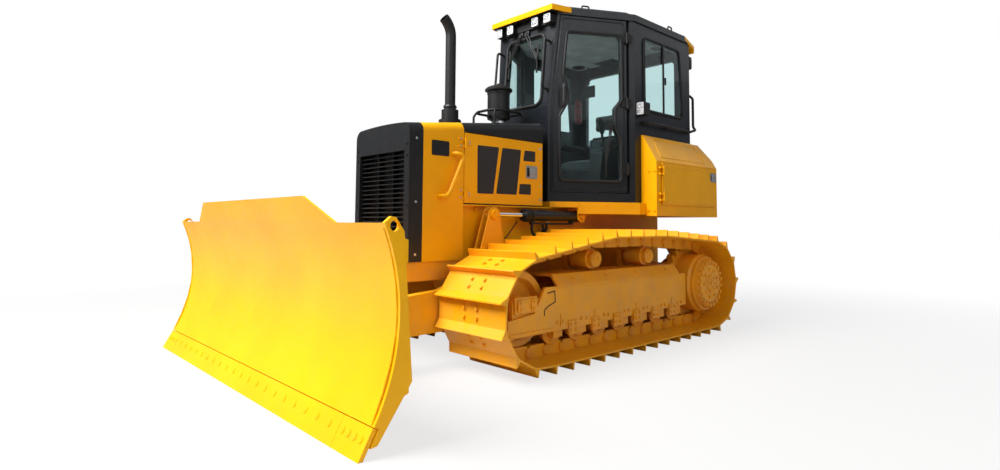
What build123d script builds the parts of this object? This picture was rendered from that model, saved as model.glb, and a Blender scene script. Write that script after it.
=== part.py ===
from build123d import *
import os
from math import acos, asin, atan2, cos, degrees, hypot, pi, radians, sin

# A small low-ground-pressure crawler bulldozer with a six-way blade.
# Frame: +X forward (the blade end), +Y the machine's left, +Z up, ground at z = 0.
# The origin is on the ground, under the middle of the machine's length. Millimetres.
os.makedirs("parts", exist_ok=True)


def save(part, name):
    """Label one finished piece and write it."""
    part.label = name
    export_step(part, f"parts/{name}.step")


def save_pair(part, stem):
    """Write a left piece and its mirror image on the right."""
    save(part, f"{stem}_left")
    save(mirror(part, about=Plane.XZ), f"{stem}_right")


def both_sides(part):
    """A left piece and its mirror image as the solids of one node."""
    return Compound(part.solids() + mirror(part, about=Plane.XZ).solids())


def side_plane(y):
    """Upright plane at y: sketches read (x, z), and extrude runs towards -Y."""
    return Plane(origin=(0, y, 0), x_dir=(1, 0, 0), z_dir=(0, -1, 0))


def front_plane(x):
    """Upright plane at x: sketches read (y, z), and extrude runs towards +X."""
    return Plane(origin=(x, 0, 0), x_dir=(0, 1, 0), z_dir=(1, 0, 0))


def turning_plane(x, z):
    """Plane for what turns about a cross shaft at (x, z): sketches read (y, radius)."""
    return Plane(origin=(x, 0, z), x_dir=(0, 1, 0), z_dir=(1, 0, 0))


def cross_axis(x, z):
    return Axis((x, 0, z), (0, 1, 0))


# ---------------------------------------------------------------- driving sizes
# track
PITCH = 171.0            # pin to pin
SHOES = 39               # shoes round one track
SHOE_WIDTH = 660.0
TRACK_Y = 780.0          # middle of a track
PIN_HEIGHT = 97.0        # pin line over the ground
PLATE_IN, PLATE_OUT = 37.0, 49.0   # shoe plate, outward from the pin line
RAIL_DEPTH = 45.0        # link rail, inward from the pin line
RAIL_Y, RAIL_WIDTH = 62.0, 32.0
SPROCKET_X = -1615.0
SPROCKET_SEATS = 25      # every link takes two
IDLER_PIN_R, IDLER_Z = 308.0, 405.0
CARRIER_XS = (-100.0, -820.0)
CARRIER_Z, CARRIER_R = 710.0, 77.5
ROLLER_R, ROLLER_COUNT = 84.8, 7
FRAME_HALF = 170.0

# body
HOOD_HALF = 360.0
HOOD_FRONT, HOOD_SEAM, HOOD_REAR = 1245.0, 768.0, -85.0
GRILLE_FRAME_REAR = 1130.0
HOOD_BASE = 709.0
HOOD_TOP_FRONT, HOOD_TOP_REAR = 1680.0, 1835.0
DOOR_LOW, DOOR_HIGH = 1125.0, 1645.0
SKIN = 4.0
DECK = 1165.0            # cab floor level and top of the platforms
DECK_LOW, DECK_SHEET = 1062.0, 12.0

# cab
CAB_FRONT_X, CAB_FRONT_Y = -190.0, 318.0     # near front corner of the cab
CAB_HINGE_X, CAB_HINGE_Y = -900.0, 722.0     # widest corner, where the doors hang
CAB_REAR_X = -1865.0
HEADER = 2805.0          # top of the cab's walls, under the roof
ROOF_EDGE = HEADER + 60        # the roof's rim
CAB_TOP = ROOF_EDGE + 60       # and its raised middle
ROOF_GROW = 14.0
WALL = 45.0
LEAN_FROM, FRONT_LEAN = 1990.0, 75.0         # the front wall leans back by this much, from here up
DECK_FRONT_X, DECK_FRONT_Y = -190.0, 344.0   # the deck's plan, a little larger than the cab's
DECK_HINGE_X, DECK_HINGE_Y = -893.0, 770.0
DECK_REAR_X = -1955.0

# hull: its front face meets the deck's front skirt
HULL_HALF, HULL_REAR = 290.0, -1940.0
HULL_FRONT = DECK_FRONT_X - DECK_SHEET

# blade
BLADE_HALF = 1490.0
EDGE_HALF = BLADE_HALF + 15
BLADE_LOW_X, BLADE_HIGH_X, BLADE_MID_X = 2168.0, 2138.0, 2052.0
BLADE_LOW_Z, BLADE_HIGH_Z = 128.0, 975.0
BLADE_TOP_Z = 1110.0
BLADE_SKIN = 14.0

# push frame and its cylinders
LIFT_PIVOT_X, LIFT_PIVOT_Z, PIVOT_R = 430.0, 470.0, 42.0
LEVER_PIN_X, LEVER_PIN_Z = 525.0, 1043.0
ARM_IN, ARM_OUT = 366.0, 434.0        # push frame arms, between hood and track
LIFT_REAR_X, LIFT_REAR_Z = -480.0, 1041.0
LIFT_Y = (ARM_IN + ARM_OUT) / 2
KINGPIN_X, KINGPIN_Z = 1700.0, 380.0
CARRIER_BACK_X, CARRIER_FRONT_X = 1800.0, 1868.0
TILT_Z = 400.0

SPROCKET_PIN_R = PITCH * SPROCKET_SEATS / (2 * 2 * pi)
SPROCKET_Z = PIN_HEIGHT + SPROCKET_PIN_R


# ---------------------------------------------------------------- track path
def belt(circles):
    """Arcs and straights of a belt round circles (x, z, r), given anticlockwise."""
    normals = []
    for (xa, za, ra), (xb, zb, rb) in zip(circles, circles[1:] + circles[:1]):
        along = atan2(zb - za, xb - xa)
        normals.append(along - acos((ra - rb) / hypot(xb - xa, zb - za)))
    pieces = []
    for i, (x, z, r) in enumerate(circles):
        start, end = normals[i - 1], normals[i]
        while end < start:
            end += 2 * pi
        while end - start > 2 * pi:
            end -= 2 * pi
        pieces.append(("arc", x, z, r, start, end))
        xb, zb, rb = circles[(i + 1) % len(circles)]
        n = normals[i]
        pieces.append(("line", x + r * cos(n), z + r * sin(n), xb + rb * cos(n), zb + rb * sin(n)))
    return pieces


def piece_length(p):
    return p[3] * (p[5] - p[4]) if p[0] == "arc" else hypot(p[3] - p[1], p[4] - p[2])


def loop_circles(idler_x):
    tops = [(x, CARRIER_Z, CARRIER_R + RAIL_DEPTH + 2.6) for x in CARRIER_XS]
    return [(SPROCKET_X, SPROCKET_Z, SPROCKET_PIN_R), (idler_x, IDLER_Z, IDLER_PIN_R)] + tops


def loop_length(idler_x):
    return sum(piece_length(p) for p in belt(loop_circles(idler_x)))


# the tensioner slides the idler forward until the links just fill the loop
near, far = 400.0, 1000.0
for _ in range(50):
    IDLER_X = (near + far) / 2
    if loop_length(IDLER_X) < SHOES * PITCH:
        near = IDLER_X
    else:
        far = IDLER_X
PATH = belt(loop_circles(IDLER_X))


def on_path(s):
    """Point of the pin line at arc length s."""
    for p in PATH:
        length = piece_length(p)
        if s <= length:
            if p[0] == "arc":
                a = p[4] + s / p[3]
                return (p[1] + p[3] * cos(a), p[2] + p[3] * sin(a))
            t = s / length
            return (p[1] + t * (p[3] - p[1]), p[2] + t * (p[4] - p[2]))
        s -= length
    return on_path(s)


# the first pin stands at the start of the sprocket's arc
PINS = [on_path(i * PITCH) for i in range(SHOES)]


def link_points(profile):
    """Lay a link's (along, outward) points on every link of the loop."""
    points = []
    for i in range(SHOES):
        (xa, za), (xb, zb) = PINS[i], PINS[(i + 1) % SHOES]
        span = hypot(xb - xa, zb - za)
        tx, tz = (xb - xa) / span, (zb - za) / span
        for along, out in profile:
            s = along if along < PITCH / 2 else span - (PITCH - along)
            points.append((xa + tx * s + tz * out, za + tz * s - tx * out))
    return points


# a single-grouser shoe: flat plate, then the grouser at its leading end
SHOE_PROFILE = [(3, PLATE_OUT), (152, PLATE_OUT), (159, PIN_HEIGHT), (168, PIN_HEIGHT)]
PLATE_INNER = [(12, PLATE_IN), (PITCH - 12, PLATE_IN)]
RAIL_OUTER = [(8, PLATE_IN + 3), (PITCH - 8, PLATE_IN + 3)]
RAIL_INNER = [(22, -RAIL_DEPTH), (PITCH - 22, -RAIL_DEPTH), (PITCH - 4, -RAIL_DEPTH + 20)]

with BuildPart() as track:
    with BuildSketch(side_plane(TRACK_Y + SHOE_WIDTH / 2)):
        Polygon(*link_points(SHOE_PROFILE), align=None)
        Polygon(*link_points(PLATE_INNER), align=None, mode=Mode.SUBTRACT)
    extrude(amount=SHOE_WIDTH)
    for rail_y in (TRACK_Y - RAIL_Y, TRACK_Y + RAIL_Y):
        with BuildSketch(side_plane(rail_y + RAIL_WIDTH / 2)):
            Polygon(*link_points(RAIL_OUTER), align=None)
            Polygon(*link_points(RAIL_INNER), align=None, mode=Mode.SUBTRACT)
        extrude(amount=RAIL_WIDTH)
save_pair(track.part, "track")

# ---------------------------------------------------------------- running gear
# sprocket: half-pitch seats, so each pin meets every second one
SPROCKET_HALF, SEAT_GAP = 30.0, 0.2
with BuildPart() as sprocket:
    with BuildSketch(side_plane(TRACK_Y + SPROCKET_HALF)):
        with Locations((SPROCKET_X, SPROCKET_Z)):
            Circle(SPROCKET_PIN_R + 18)
            with PolarLocations(SPROCKET_PIN_R + 3, SPROCKET_SEATS, start_angle=degrees(PATH[0][4])):
                Circle(26, mode=Mode.SUBTRACT)
            Circle(226, mode=Mode.SUBTRACT)
    extrude(amount=2 * SPROCKET_HALF)
save(both_sides(sprocket.part), "sprockets")

# final drive: axle case out of the hull, flange inside the sprocket, drum and hub cover outside
FINAL_DRIVE = [(-220, 165), (-170, 215), (-50, 215), (-50, 262), (-SPROCKET_HALF - SEAT_GAP, 262),
               (-SPROCKET_HALF - SEAT_GAP, 225.5), (SPROCKET_HALF + SEAT_GAP, 225.5),
               (SPROCKET_HALF + SEAT_GAP, 262), (175, 262), (195, 245), (220, 245), (220, 225),
               (255, 215), (255, 0)]
with BuildPart() as final_drive:
    with BuildSketch(turning_plane(SPROCKET_X, SPROCKET_Z)):
        Polygon((HULL_HALF, 0), (HULL_HALF, 165), *[(TRACK_Y + y, r) for y, r in FINAL_DRIVE], align=None)
    revolve(axis=cross_axis(SPROCKET_X, SPROCKET_Z))
save(both_sides(final_drive.part), "final_drives")

# idler and roller shafts end here, inside the track frame's plates
SHAFT_END, ROLLER_END = 118.0, 125.0

# idler: centre flange between the rails, two treads, hub and shaft
IDLER_TREAD_R = IDLER_PIN_R * cos(PITCH / (2 * IDLER_PIN_R)) - RAIL_DEPTH - 0.3
IDLER_HALF = [(0, IDLER_TREAD_R + 18), (40, IDLER_TREAD_R + 18), (42, IDLER_TREAD_R),
              (80, IDLER_TREAD_R), (80, IDLER_TREAD_R - 45), (28, IDLER_TREAD_R - 60), (28, 95),
              (95, 85), (95, 45), (SHAFT_END, 45), (SHAFT_END, 0), (0, 0)]
with BuildPart() as idler:
    for half in (1, -1):
        with BuildSketch(turning_plane(IDLER_X, IDLER_Z)):
            Polygon(*[(TRACK_Y + half * y, r) for y, r in IDLER_HALF], align=None)
        revolve(axis=cross_axis(IDLER_X, IDLER_Z))
save(both_sides(idler.part), "idlers")

# track rollers hang between the side plates of the track frame
ROLLER_Z = PIN_HEIGHT + RAIL_DEPTH + ROLLER_R + 0.2
ROLLER_FIRST, ROLLER_STEP = 370.0, -266.0
ROLLER_XS = [ROLLER_FIRST + i * ROLLER_STEP for i in range(ROLLER_COUNT)]
ROLLER_HALF = [(0, 66), (40, 66), (44, ROLLER_R), (80, ROLLER_R), (82, 100), (95, 100), (99, 60),
               (ROLLER_END, 60), (ROLLER_END, 0), (0, 0)]
with BuildPart() as rollers:
    for x in ROLLER_XS:
        for half in (1, -1):
            with BuildSketch(turning_plane(x, ROLLER_Z)):
                Polygon(*[(TRACK_Y + half * y, r) for y, r in ROLLER_HALF], align=None)
            revolve(axis=cross_axis(x, ROLLER_Z))


# carrier rollers stand on brackets over the track frame
CARRIER_PROFILE = [(-120, 0), (-120, 40), (-80, 40), (-80, CARRIER_R), (80, CARRIER_R), (82, 62),
                   (125, 62), (132, 52), (132, 0)]
with BuildPart() as carriers:
    for x in CARRIER_XS:
        with BuildSketch(turning_plane(x, CARRIER_Z)):
            Polygon(*[(TRACK_Y + y, r) for y, r in CARRIER_PROFILE], align=None)
        revolve(axis=cross_axis(x, CARRIER_Z))
save(Compound(both_sides(rollers.part).solids() + both_sides(carriers.part).solids()), "track_rollers")

# track frame: side plates with a sloped roof, yokes for the idler, hangers for the rollers
FRAME_PLATE = 20.0
FRAME_LOW, FRAME_SIDE, FRAME_ROOF = 262.0, 540.0, 620.0
PLATE_REAR_X, FRAME_REAR_X, FRAME_BOX_X, FRAME_TIP_X = -1335.0, -1235.0, 395.0, 870.0
SIDE_PLATE = [(PLATE_REAR_X, FRAME_LOW), (FRAME_TIP_X, 228), (FRAME_TIP_X, 345), (625, 375),
              (520, FRAME_SIDE), (PLATE_REAR_X, FRAME_SIDE)]
ROOF_OUT = [(FRAME_HALF, FRAME_SIDE), (FRAME_HALF - 58, FRAME_ROOF)]
ROOF_IN = [(FRAME_HALF - 67, FRAME_ROOF - 18), (FRAME_HALF - 22, FRAME_SIDE)]
ROOF_SECTION = (ROOF_OUT + [(-y, z) for y, z in reversed(ROOF_OUT)]
                + [(-y, z) for y, z in reversed(ROOF_IN)] + ROOF_IN)
with BuildPart() as track_frame:
    for inner in (FRAME_HALF - FRAME_PLATE, -FRAME_HALF):
        with BuildSketch(side_plane(TRACK_Y + inner + FRAME_PLATE)):
            Polygon(*SIDE_PLATE, align=None)
        extrude(amount=FRAME_PLATE)
    with BuildSketch(front_plane(FRAME_REAR_X)):
        Polygon(*[(TRACK_Y + y, z) for y, z in ROOF_SECTION], align=None)
    extrude(amount=FRAME_BOX_X - FRAME_REAR_X)
    # rear wall and a cross wall behind the idler tie the plates
    for x in (FRAME_REAR_X, 60.0):
        with BuildSketch(front_plane(x)):
            with Locations((TRACK_Y, 470)):
                Rectangle(2 * FRAME_HALF - 30, 150)
        extrude(amount=16)
    # idler yokes: the shaft ends bear on their inner faces
    for y in (TRACK_Y + FRAME_HALF - FRAME_PLATE, TRACK_Y - SHAFT_END):
        with BuildSketch(side_plane(y)):
            with Locations((IDLER_X - 30, IDLER_Z)):
                RectangleRounded(300, 130, 20)
        extrude(amount=FRAME_HALF - FRAME_PLATE - SHAFT_END)
    # roller hangers inside the plates
    for x in ROLLER_XS:
        for y in (TRACK_Y + FRAME_HALF - FRAME_PLATE, TRACK_Y - ROLLER_END):
            with BuildSketch(side_plane(y)):
                with Locations((x, ROLLER_Z + 25)):
                    Rectangle(92, 130)
            extrude(amount=FRAME_HALF - FRAME_PLATE - ROLLER_END)
    # guards between the rollers, bolted to the outside of the lower edge
    for x, x_next in zip(ROLLER_XS, ROLLER_XS[1:]):
        with BuildSketch(side_plane(TRACK_Y + FRAME_HALF + 12)):
            with Locations(((x + x_next) / 2, 242)):
                Rectangle(95, 95)
        extrude(amount=12)
    # carrier brackets
    for x in CARRIER_XS:
        with BuildSketch(side_plane(TRACK_Y - 120)):
            with Locations((x, 665)):
                Rectangle(110, 175)
        extrude(amount=49.8)
save(both_sides(track_frame.part), "track_frames")

# ---------------------------------------------------------------- hull and engine
HULL_TOP = DECK - DECK_SHEET     # the deck lies on the hull
with BuildPart() as main_case:
    with BuildSketch(front_plane(HULL_REAR)):
        Polygon((-HULL_HALF, HULL_TOP), (-HULL_HALF, 400), (-200, 320), (200, 320), (HULL_HALF, 400),
                (HULL_HALF, HULL_TOP), align=None)
    extrude(amount=HULL_FRONT - HULL_REAR)
save(main_case.part, "main_case")

# engine frame: two deep rails tied by cross members, with the beam that carries the track
# frames and the trunnions that the push frame swings on
RAIL_LOW = 577.0
with BuildPart() as engine_frame:
    for y in (345, -220):
        with BuildSketch(side_plane(y)):
            Polygon((HULL_FRONT, RAIL_LOW), (HOOD_FRONT, RAIL_LOW), (HOOD_FRONT, HOOD_BASE),
                    (HULL_FRONT, HOOD_BASE), align=None)
        extrude(amount=125)
    for x, length in ((HOOD_FRONT - 60, 60), (60, 110), (600, 80)):
        with BuildSketch(front_plane(x)):
            with Locations((0, (RAIL_LOW + HOOD_BASE) / 2)):
                Rectangle(470, HOOD_BASE - RAIL_LOW)
        extrude(amount=length)
    with BuildSketch(front_plane(60)):
        with Locations((0, 470)):
            Rectangle(2 * (TRACK_Y - FRAME_HALF), 120)
        with Locations((0, (530 + RAIL_LOW) / 2)):
            Rectangle(300, RAIL_LOW - 530)
    extrude(amount=110)
    with BuildSketch(side_plane(345)):
        Polygon((320, RAIL_LOW), (540, RAIL_LOW), (490, 425), (370, 425), align=None)
    extrude(amount=690)
    with BuildSketch(side_plane(ARM_OUT)):
        with Locations((LIFT_PIVOT_X, LIFT_PIVOT_Z)):
            Circle(PIVOT_R)
    extrude(amount=2 * ARM_OUT)
save(engine_frame.part, "engine_frame")

with BuildPart() as engine_block:
    with BuildSketch(Plane.XY.offset(HOOD_BASE)):
        with Locations((420, 0)):
            Rectangle(900, 420)
    extrude(amount=720)
    fillet(engine_block.edges().filter_by(Axis.Z), 40)
save(engine_block.part, "engine_block")


# ---------------------------------------------------------------- hood
def hood_top(x):
    """Height of the hood's crown at x: it climbs towards the cab."""
    t = (HOOD_FRONT - x) / (HOOD_FRONT - HOOD_REAR)
    return HOOD_TOP_FRONT + t * (HOOD_TOP_REAR - HOOD_TOP_FRONT)


def hood_section(x, low, inset):
    """One cross section of the hood: upright sides and a rounded, slightly crowned top."""
    half, top, bend = HOOD_HALF - inset, hood_top(x) - inset, 70 - inset
    with BuildSketch(front_plane(x)) as section:
        with BuildLine():
            Polyline((-half, top - 10 - bend), (-half, low), (half, low), (half, top - 10 - bend))
            RadiusArc((half, top - 10 - bend), (half - bend, top - 10), -bend)
            ThreePointArc((half - bend, top - 10), (0, top), (bend - half, top - 10))
            RadiusArc((bend - half, top - 10), (-half, top - 10 - bend), -bend)
        make_face()
    return section.sketch


def hood_shell(x_front, x_rear, low):
    """Lofted skin between two sections, open below."""
    with BuildPart() as skin:
        loft(sections=[hood_section(x_front, low, 0), hood_section(x_rear, low, 0)])
        loft(sections=[hood_section(x_front, low - 1, SKIN), hood_section(x_rear, low - 1, SKIN)],
             mode=Mode.SUBTRACT)
    return skin.part


# strap hinges: a knuckle on the moving leaf between two on the fixed leaf
HINGE_OUT, HINGE_R, HINGE_LEAF, HINGE_HALF = 14.0, 9.0, 8.0, 18.0


def hinge_halves(plane, out, heights, reach, sink=0.0):
    """Moving and fixed halves of the hinges on one upright line, at the origin of a level plane.

    The plane's x runs along the door, and its y times out points outwards.
    """
    halves = []
    moving = (2, reach, 0, [(-HINGE_HALF, HINGE_HALF)])
    fixed = (-4, -reach, sink, [(HINGE_HALF + 0.5, 2 * HINGE_HALF), (-2 * HINGE_HALF, -HINGE_HALF - 0.5)])
    for start, end, depth, spans in (moving, fixed):
        with BuildPart() as half:
            for z in heights:
                for low, high in spans:
                    with BuildSketch(plane.offset(z + low)):
                        with Locations((0, out * HINGE_OUT)):
                            Circle(HINGE_R)
                        Polygon((start, -out * depth), (end, -out * depth), (end, out * HINGE_LEAF),
                                (start, out * HINGE_LEAF), align=None)
                    extrude(amount=high - low)
        halves.append(half.part)
    return halves


# black frame round the grille
GRILLE_LOW, GRILLE_HIGH, GRILLE_HALF = 740.0, 1475.0, 300.0
GRILLE_BACK = HOOD_FRONT - 60
with BuildPart() as grille_frame:
    loft(sections=[hood_section(HOOD_FRONT, HOOD_BASE, 0), hood_section(GRILLE_FRAME_REAR, HOOD_BASE, 0)])
    with BuildSketch(front_plane(GRILLE_BACK - 10)):
        with Locations((0, (GRILLE_LOW + GRILLE_HIGH) / 2)):
            Rectangle(2 * GRILLE_HALF, GRILLE_HIGH - GRILLE_LOW)
    extrude(amount=HOOD_FRONT - GRILLE_BACK + 10, mode=Mode.SUBTRACT)
save(grille_frame.part, "grille_frame")

# grille: bowed louvres between upright bars
LOUVRES = 22
LOUVRE_PITCH = (GRILLE_HIGH - GRILLE_LOW) / LOUVRES
with BuildPart() as grille:
    with BuildSketch(front_plane(GRILLE_BACK - 10)):
        with GridLocations(2 * GRILLE_HALF / 3 - 8, 0, 4, 1):
            with Locations((0, (GRILLE_LOW + GRILLE_HIGH) / 2)):
                Rectangle(14, GRILLE_HIGH - GRILLE_LOW)
    extrude(amount=30)
    for i in range(LOUVRES):
        z = GRILLE_LOW + (i + 0.5) * LOUVRE_PITCH
        with BuildSketch(side_plane(GRILLE_HALF)):
            Polygon((GRILLE_BACK, z + 3), (GRILLE_BACK, z - 3), (GRILLE_BACK + 40, z - 13),
                    (GRILLE_BACK + 40, z - 7), align=None)
        extrude(amount=2 * GRILLE_HALF)
save(grille.part, "grille")

# yellow front section: full-depth sides and top, behind the grille frame
DOOR_SEAM = 6.0
ENGINE_HINGE = Plane(origin=(HOOD_SEAM - DOOR_SEAM, HOOD_HALF, 0), x_dir=(-1, 0, 0), z_dir=(0, 0, 1))
engine_hinges = hinge_halves(ENGINE_HINGE, -1, (1190, 1570), 60)
with BuildPart() as front_hood:
    add(hood_shell(GRILLE_FRAME_REAR, HOOD_SEAM, HOOD_BASE))
    add(engine_hinges[1])
    add(mirror(engine_hinges[1], about=Plane.XZ))
save(front_hood.part, "front_hood")

# black rear top: cut along a side line that falls a little towards the cab
TOP_CUT = 1652.0
with BuildPart() as hood_top_panel:
    add(hood_shell(HOOD_SEAM, HOOD_REAR, TOP_CUT))
save(hood_top_panel.part, "hood_top")

# engine doors hang on their front edge
ENGINE_DOOR_REAR = HOOD_REAR + DOOR_SEAM
with BuildPart() as engine_door:
    with BuildSketch(side_plane(HOOD_HALF)):
        Polygon((HOOD_SEAM - DOOR_SEAM, DOOR_LOW), (HOOD_SEAM - DOOR_SEAM, DOOR_HIGH),
                (ENGINE_DOOR_REAR, DOOR_HIGH), (ENGINE_DOOR_REAR, DOOR_LOW), align=None)
    extrude(amount=18)
    add(engine_hinges[0])
save_pair(engine_door.part, "engine_door")

# lower engine side panel, below the door and inside the lift lever
with BuildPart() as engine_side:
    with BuildSketch(side_plane(HULL_HALF)):
        Polygon((HOOD_SEAM, HOOD_BASE), (HOOD_SEAM, DOOR_LOW - 10), (HULL_FRONT, DOOR_LOW - 10),
                (HULL_FRONT, HOOD_BASE), align=None)
    extrude(amount=20)
    # ledge out to the foot of the door
    with BuildSketch(side_plane(HOOD_HALF - 6)):
        Polygon((HOOD_SEAM, DOOR_LOW - 20), (HOOD_SEAM, DOOR_LOW - 10), (HULL_FRONT, DOOR_LOW - 10),
                (HULL_FRONT, DOOR_LOW - 20), align=None)
    extrude(amount=HOOD_HALF - 6 - HULL_HALF)
save(both_sides(engine_side.part), "engine_sides")

# ---------------------------------------------------------------- deck and cab
def flared_plan(front, hinge, rear_x, grow=0.0):
    """Corners of a plan with a narrow front, flared sides and an upright rear, grown outwards."""
    run, rise = hinge[0] - front[0], hinge[1] - front[1]
    length = hypot(run, rise)
    nx, ny = rise / length, -run / length      # outward normal of the flared side
    front_y = front[1] + ny * grow + rise / run * (grow - nx * grow)
    hinge_x = hinge[0] + nx * grow + (1 - ny) * grow * run / rise
    points = [(front[0] + grow, front_y), (hinge_x, hinge[1] + grow), (rear_x - grow, hinge[1] + grow)]
    return points + [(x, -y) for x, y in reversed(points)]


def cab_front_x(z):
    """Where the outside of the cab's front wall stands at a height: it leans back at the windscreen."""
    return CAB_FRONT_X - FRONT_LEAN * min(max(0, z - LEAN_FROM) / (HEADER - LEAN_FROM), 1)


def cab_section(grow, z, rear_x=CAB_REAR_X):
    """The cab's plan at a height, grown outwards; the flared sides stay in their own planes."""
    x = cab_front_x(z)
    slope = (CAB_FRONT_Y - CAB_HINGE_Y) / (CAB_FRONT_X - CAB_HINGE_X)
    front = (x, CAB_FRONT_Y + slope * (x - CAB_FRONT_X))
    with BuildSketch(Plane.XY.offset(z)) as section:
        Polygon(*flared_plan(front, (CAB_HINGE_X, CAB_HINGE_Y), rear_x, grow), align=None)
    return section.sketch


def cab_plan(grow, low, high):
    """Prism over the cab's plan, its front face leaning with the windscreen."""
    heights = [low] + [z for z in (LEAN_FROM, HEADER) if low < z < high] + [high]
    with BuildPart() as prism:
        for a, b in zip(heights, heights[1:]):
            loft(sections=[cab_section(grow, a), cab_section(grow, b)], ruled=True)
    return prism.part


def deck_plan(inset, low, high):
    with BuildPart() as prism:
        with BuildSketch(Plane.XY.offset(low)):
            Polygon(*flared_plan((DECK_FRONT_X, DECK_FRONT_Y), (DECK_HINGE_X, DECK_HINGE_Y),
                                 DECK_REAR_X, -inset), align=None)
        extrude(amount=high - low)
    return prism.part


# deck: a tray under the cab whose skirt shows as the yellow platform
with BuildPart() as deck:
    add(deck_plan(0, DECK_LOW, DECK))
    add(deck_plan(DECK_SHEET, DECK_LOW - 1, DECK - DECK_SHEET), mode=Mode.SUBTRACT)
    # the skirt is shallow over the lift cylinders, deep behind their brackets
    with BuildSketch(Plane.XY.offset(DECK_LOW - 1)):
        with Locations((LIFT_REAR_X + 70 + 400, 0)):
            Rectangle(800, 1600)
    extrude(amount=56, mode=Mode.SUBTRACT)
    # brackets for the lift cylinders hang from the sheet
    for y in (LIFT_Y + 57, LIFT_Y - 45, -LIFT_Y + 57, -LIFT_Y - 45):
        with BuildSketch(side_plane(y)):
            Polygon((LIFT_REAR_X - 90, DECK - DECK_SHEET), (LIFT_REAR_X + 60, DECK - DECK_SHEET),
                    (LIFT_REAR_X + 50, LIFT_REAR_Z - 30), (LIFT_REAR_X + 15, LIFT_REAR_Z - 55),
                    (LIFT_REAR_X - 30, LIFT_REAR_Z - 55), align=None)
        extrude(amount=12)
    for y in (LIFT_Y, -LIFT_Y):
        for face, radius, length in ((60, 22, 120), (45, 32, 20), (-25, 32, 20)):
            with BuildSketch(side_plane(y + face)):
                with Locations((LIFT_REAR_X, LIFT_REAR_Z)):
                    Circle(radius)
            extrude(amount=length)
save(deck.part, "deck")

SILL_TOP = 1245.0
FLOOR_SHEET = 20.0
with BuildPart() as cab_floor:
    add(cab_plan(0, DECK, SILL_TOP))
    add(cab_plan(-WALL, DECK + FLOOR_SHEET, SILL_TOP + 1), mode=Mode.SUBTRACT)
save(cab_floor.part, "cab_floor")

# a yellow cap slopes down over the rear edge of the roof
CAP_FRONT, CAP_REAR = (CAB_REAR_X + 100, ROOF_EDGE), (CAB_REAR_X - 85, ROOF_EDGE - 68)
CAP_THICK = 34.0
CAP_SLOPE = (CAP_FRONT[1] - CAP_REAR[1]) / (CAP_FRONT[0] - CAP_REAR[0])
CAP_LIP, CAP_LIP_THICK = 70.0, 18.0
under_front = (CAP_FRONT[0], CAP_FRONT[1] - CAP_THICK)
under_rear = (CAP_REAR[0], CAP_REAR[1] - CAP_THICK)
with BuildPart() as roof_cap:
    with BuildSketch(side_plane(CAB_HINGE_Y + ROOF_GROW)):
        Polygon(CAP_FRONT, CAP_REAR, (CAP_REAR[0] + 4, CAP_REAR[1] - CAP_LIP),
                (CAP_REAR[0] + CAP_LIP_THICK, CAP_REAR[1] - CAP_LIP),
                (under_rear[0] + CAP_LIP_THICK, under_rear[1] + CAP_LIP_THICK * CAP_SLOPE),
                under_front, align=None)
    extrude(amount=2 * (CAB_HINGE_Y + ROOF_GROW))
save(roof_cap.part, "roof_cap")

with BuildPart() as cab_roof:
    add(cab_plan(ROOF_GROW, HEADER, ROOF_EDGE))
    loft(sections=[cab_section(-10, ROOF_EDGE, CAP_FRONT[0] + 25),
                   cab_section(-110, CAB_TOP, CAP_FRONT[0] + 25)], ruled=True)
    add(cab_plan(-WALL - 30, HEADER - 1, ROOF_EDGE - 25), mode=Mode.SUBTRACT)
    with BuildSketch(side_plane(1000)):
        Polygon(CAP_FRONT, under_front, under_rear, (CAP_REAR[0], ROOF_EDGE), align=None)
    extrude(amount=2000, mode=Mode.SUBTRACT)
save(cab_roof.part, "cab_roof")

with BuildPart() as cab_walls:
    add(cab_plan(0, SILL_TOP, HEADER))
    add(cab_plan(-WALL, SILL_TOP - 1, HEADER + 1), mode=Mode.SUBTRACT)
    with BuildSketch(side_plane(1000)):
        Polygon(CAP_FRONT, under_front, under_rear, (CAP_REAR[0], ROOF_EDGE), align=None)
    extrude(amount=2000, mode=Mode.SUBTRACT)

# doors: flared side between the front post and the hinge post; sketches read (along, z)
DOOR_DIRECTION = Vector(CAB_FRONT_X - CAB_HINGE_X, CAB_FRONT_Y - CAB_HINGE_Y, 0).normalized()
DOOR_RUN = hypot(CAB_FRONT_X - CAB_HINGE_X, CAB_FRONT_Y - CAB_HINGE_Y)
FRONT_POST, HINGE_POST = 26.0, 45.0
DOOR_PLANE = Plane(origin=(CAB_HINGE_X, CAB_HINGE_Y, 0), x_dir=DOOR_DIRECTION,
                   z_dir=(DOOR_DIRECTION.Y, -DOOR_DIRECTION.X, 0))
DOOR_GAP, DOOR_THICK = 6.0, 38.0
DOOR_FROM = (HINGE_POST - DOOR_THICK * DOOR_DIRECTION.Y) / DOOR_DIRECTION.X + DOOR_GAP
CAB_DOOR_HINGE = Plane(origin=DOOR_PLANE.from_local_coords((DOOR_FROM, 0, 0)), x_dir=DOOR_DIRECTION,
                       z_dir=(0, 0, 1))
cab_door_hinges = hinge_halves(CAB_DOOR_HINGE, 1, (1460, 2050, HEADER - 165), 40)


def post_edge(z):
    """How far along the door's plane the front post begins, at a height."""
    return DOOR_RUN - FRONT_POST - (CAB_FRONT_X - cab_front_x(z)) / DOOR_DIRECTION.X


def door_side(start, low, high, gap):
    """The door's outline, or the opening's: its front edge leans with the front wall."""
    return [(start, low), (post_edge(low) - gap, low), (post_edge(LEAN_FROM) - gap, LEAN_FROM),
            (post_edge(high) - gap, high), (start, high)]


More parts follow.
